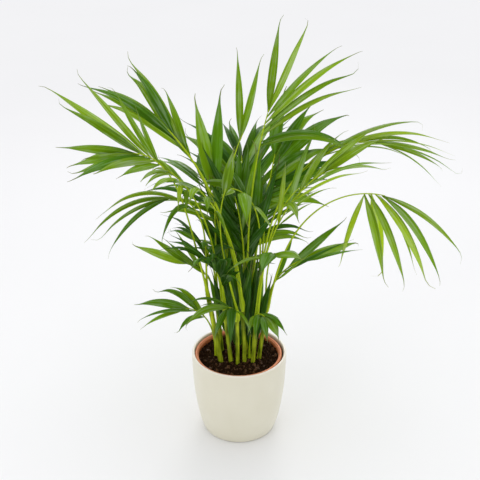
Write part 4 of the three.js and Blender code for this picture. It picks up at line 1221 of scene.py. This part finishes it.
def stem_path(index, stem):
    foot = Vector((*stem["foot"], SOIL_TOP - STEM_SUNK))
    top = stem_top(stem)
    low_radius, top_radius = stem["radius"]
    path = []
    for i in range(STEM_SAMPLES + 1):
        share = i / STEM_SAMPLES
        up = share * stem["height"]
        girth = low_radius + (top_radius - low_radius) * share
        flare = 1 + (STEM_FLARE - 1) * max(0.0, 1 - up / FLARE_HEIGHT) ** 2
        ring = (up / RING_SPACING + 0.5 * scatter(index, 3)) % 1
        step = STEM_SLIMMER * (1.0 - RING_STEP * ring)
        closing = min(1.0, CLOSED_GIRTH + (stem["height"] - up) / CLOSING_LENGTH)
        path.append((foot.lerp(top, share), girth * flare * step * closing, (1, 0, 0)))
    return path


stem_lines = path_mesh("stem_lines", [stem_path(i, stem) for i, stem in enumerate(STEMS.values())])
stems = run_tree(stem_lines, limb_tree, "palm_stems", {"Points": 90, "Sides": 18, "Finish": stem_green})
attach(stems, "root")
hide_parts(*["stem_" + key for key in STEMS])
print("stems:", len(stems.data.polygons), "faces")

# %% [markdown]
# ## Ribs
#
# A rib starts as a clasping base inside the stem's top, so its line begins a little below the top and its
# girth shrinks quickly at first. After that it tapers evenly to its tip.

# %% Growing the ribs
SHEATH_DEPTH = 9
SHEATH_INWARDS = 0.35
SHEATH_GIRTH = 2.6
CLASP_LENGTH = 26
CLASP_GIRTH = 0.75
CLASP_POWER = 1.5
RIB_END = 0.55


def rib_path(frond):
    _, points, _, heading = rib_of(frond)
    side = level_across(heading)
    path = []
    if frond["stem"]:
        stem = STEMS[frond["stem"]]
        top = stem_top(stem)
        down = (top - Vector((*stem["foot"], SOIL_TOP))).normalized()
        inside = frond["root"] - down * SHEATH_DEPTH + (top - frond["root"]) * SHEATH_INWARDS
        path.append((inside, SHEATH_GIRTH, side))
    for j, point in enumerate(points):
        u = j / (len(points) - 1)
        clasp = CLASP_GIRTH * max(0.0, 1 - u * frond["length"] / CLASP_LENGTH) ** CLASP_POWER
        girth = frond["thick"] * (1 - STALK_TAPER * u) * (1 + clasp)
        path.append((point, girth * (RIB_END if u == 1 else 1), side))
    return path


rib_lines = path_mesh("rib_lines", [rib_path(frond) for frond in FRONDS.values()])
ribs = run_tree(rib_lines, limb_tree, "frond_ribs", {"Points": 44, "Sides": 10, "Finish": rib_green})
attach(ribs, "root")
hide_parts("stalk_right_droop")
print("ribs:", len(ribs.data.polygons), "faces")

# %% [markdown]
# ## Leaflets
#
# Each fitted leaflet gives one blade. Where the plant is dense, further leaflets stand between the pairs, by
# the same rule with later numbers, a little shorter so that they stay within the solid frond's reach. Every
# blade ends in a fine thread, and is dealt one of the tones, near the tone of its frond.

# %% Leaflet paths
EXTRA_SHARE = 0.88
EXTRA_NUMBERS_FROM = 101
THREAD_SHARE = 0.1
THREAD_BEND = 0.8


def blade_path(leaf, shift, chance):
    """A leaflet's line, which ends in a fine thread that bends its own way."""
    centres, widths = leaflet_line(leaf, shift)
    onward = (centres[-1] - centres[-2]).normalized()
    bend = Vector((scatter(chance, 5), scatter(chance, 9), scatter(chance, 13))) * THREAD_BEND
    thread = (onward + bend).normalized() * THREAD_SHARE * leaf["length"] * shift[2]
    centres.append(centres[-1] + thread)
    widths.append(widths[-1])
    return [(c, leaf["width"] / 2, tuple(w)) for c, w in zip(centres, widths)]


def extra_leaflets(frond):
    """Leaflets between neighbours on the same side, with the same shift as the lower one."""
    rib = rib_of(frond)
    fill = frond["fill"]
    made = []
    for side in (1, -1):
        mine = [(leaf, shift) for leaf, shift in fitted[frond["name"]] if leaf["side"] == side]
        for i, ((low, shift), (high, _)) in enumerate(zip(mine, mine[1:])):
            for e in range(fill):
                x = low["x"] + (high["x"] - low["x"]) * (e + 1) / (fill + 1)
                k = EXTRA_NUMBERS_FROM + 7 * i + 3 * e + side
                leaf = leaflet_at(frond, rib, x, side, k, EXTRA_SHARE)
                leaf["width"] *= EXTRA_SHARE
                made.append((leaf, shift))
    return made


# %% Dealing out the tones
LIGHTER_ABOVE = 0.45
DARKER_BELOW = -0.6
DEAL_FROM = 211
THREAD_STEP = 0.37

toned = [[] for _ in LEAF_TONES]
for frond in FRONDS.values():
    for i, (leaf, shift) in enumerate(fitted[frond["name"]] + extra_leaflets(frond)):
        chance = scatter(frond["seed"], i + DEAL_FROM)
        tone = frond["tone"] + (1 if chance > LIGHTER_ABOVE else -1 if chance < DARKER_BELOW else 0)
        path = blade_path(leaf, shift, frond["seed"] + THREAD_STEP * i)
        toned[min(max(tone, 0), len(LEAF_TONES) - 1)].append(path)
print("blades per tone:", [len(paths) for paths in toned])

# %% Growing the leaflets
FROND_NODES = ["frond_" + name for name in FRONDS]
for (name, _, _), finish, paths in zip(LEAF_TONES, leaf_finishes, toned):
    lines = path_mesh(name + "_lines", paths)
    blades = run_tree(lines, leaflet_tree, name.replace("leaf", "leaflets"), {
        "Points": 18, "Across": 5, "Fold": 0.42, "Seed": 3, "Finish": finish})
    bpy.data.objects.remove(lines)
    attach(blades, "root")
    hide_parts(*FROND_NODES)
    print(blades.name, len(blades.data.polygons), "faces")

# %% [markdown]
# ## Floor and light
#
# The plant stands on a seamless white sweep in broad soft light. Most of it comes from the white world all
# round. A very wide sun lamp gives an even glow from above, a panel behind the crown puts a pale sheen on the
# upper leaves, and a panel from the front left keeps the pot bright.

# %% Floor
# The floor lies a hair below the pot, so that the two don't share a plane.
FLOOR_HALF = 9000
FLOOR_DROP = 0.3
FLOOR_DARK = (0.85, 0.85, 0.855)
FLOOR_LIGHT = (0.87, 0.87, 0.875)

floor_white, graph, shader = surface("floor_white", Roughness=0.9, Specular_IOR_Level=0.0)
paper = grain(graph, 0.4, 2.0)
graph.plug(shader.inputs["Base Color"], tint(graph, FLOOR_DARK, FLOOR_LIGHT, paper))
corners = [(-1, -1), (1, -1), (1, 1), (-1, 1)]
floor = new_piece("floor", [(x * FLOOR_HALF, y * FLOOR_HALF, -FLOOR_DROP) for x, y in corners],
                  [(0, 1, 2, 3)], floor_white)
print("floor:", 2 * FLOOR_HALF * MM, "m wide")

# %% Light
WORLD_WHITE = (0.985, 0.985, 1.0, 1)
WORLD_STRENGTH = 0.92
GLOW_ENERGY = 0.46
GLOW_WIDTH = 80
GLOW_TURN = (-25, 0, -8)
PANELS_LOOK_AT = Vector((0, 0, 0.3))

world = bpy.data.worlds.new("studio")
world.use_nodes = True
backdrop = world.node_tree.nodes["Background"]
backdrop.inputs["Color"].default_value = WORLD_WHITE
backdrop.inputs["Strength"].default_value = WORLD_STRENGTH
bpy.context.scene.world = world
bpy.context.scene.view_settings.view_transform = "Standard"


def soft_panel(name, place, size, power, spread):
    data = bpy.data.lights.new(name, "AREA")
    data.shape = "DISK"
    data.size = size
    data.energy = power
    data.spread = math.radians(spread)
    panel = add_object(name, data)
    panel.location = place
    panel.rotation_euler = (PANELS_LOOK_AT - Vector(place)).to_track_quat("-Z", "Y").to_euler()
    return panel


glow_data = bpy.data.lights.new("ceiling_glow", "SUN")
glow_data.energy = GLOW_ENERGY
glow_data.angle = math.radians(GLOW_WIDTH)
ceiling_glow = add_object("ceiling_glow", glow_data)
ceiling_glow.rotation_euler = [math.radians(angle) for angle in GLOW_TURN]
sheen_panel = soft_panel("sheen_panel", (0.3, 2.3, 1.35), size=1.6, power=1.8, spread=50)
front_panel = soft_panel("front_panel", (-1.6, -1.8, 1.7), size=1.4, power=1.2, spread=90)
print("lights:", [lamp.name for lamp in (ceiling_glow, sheen_panel, front_panel)])

# %% [markdown]
# ## Closing
#
# The lines that only guided the nodes are removed.

# %% Removing the guide lines
for guide in (stem_lines, rib_lines):
    bpy.data.objects.remove(guide)
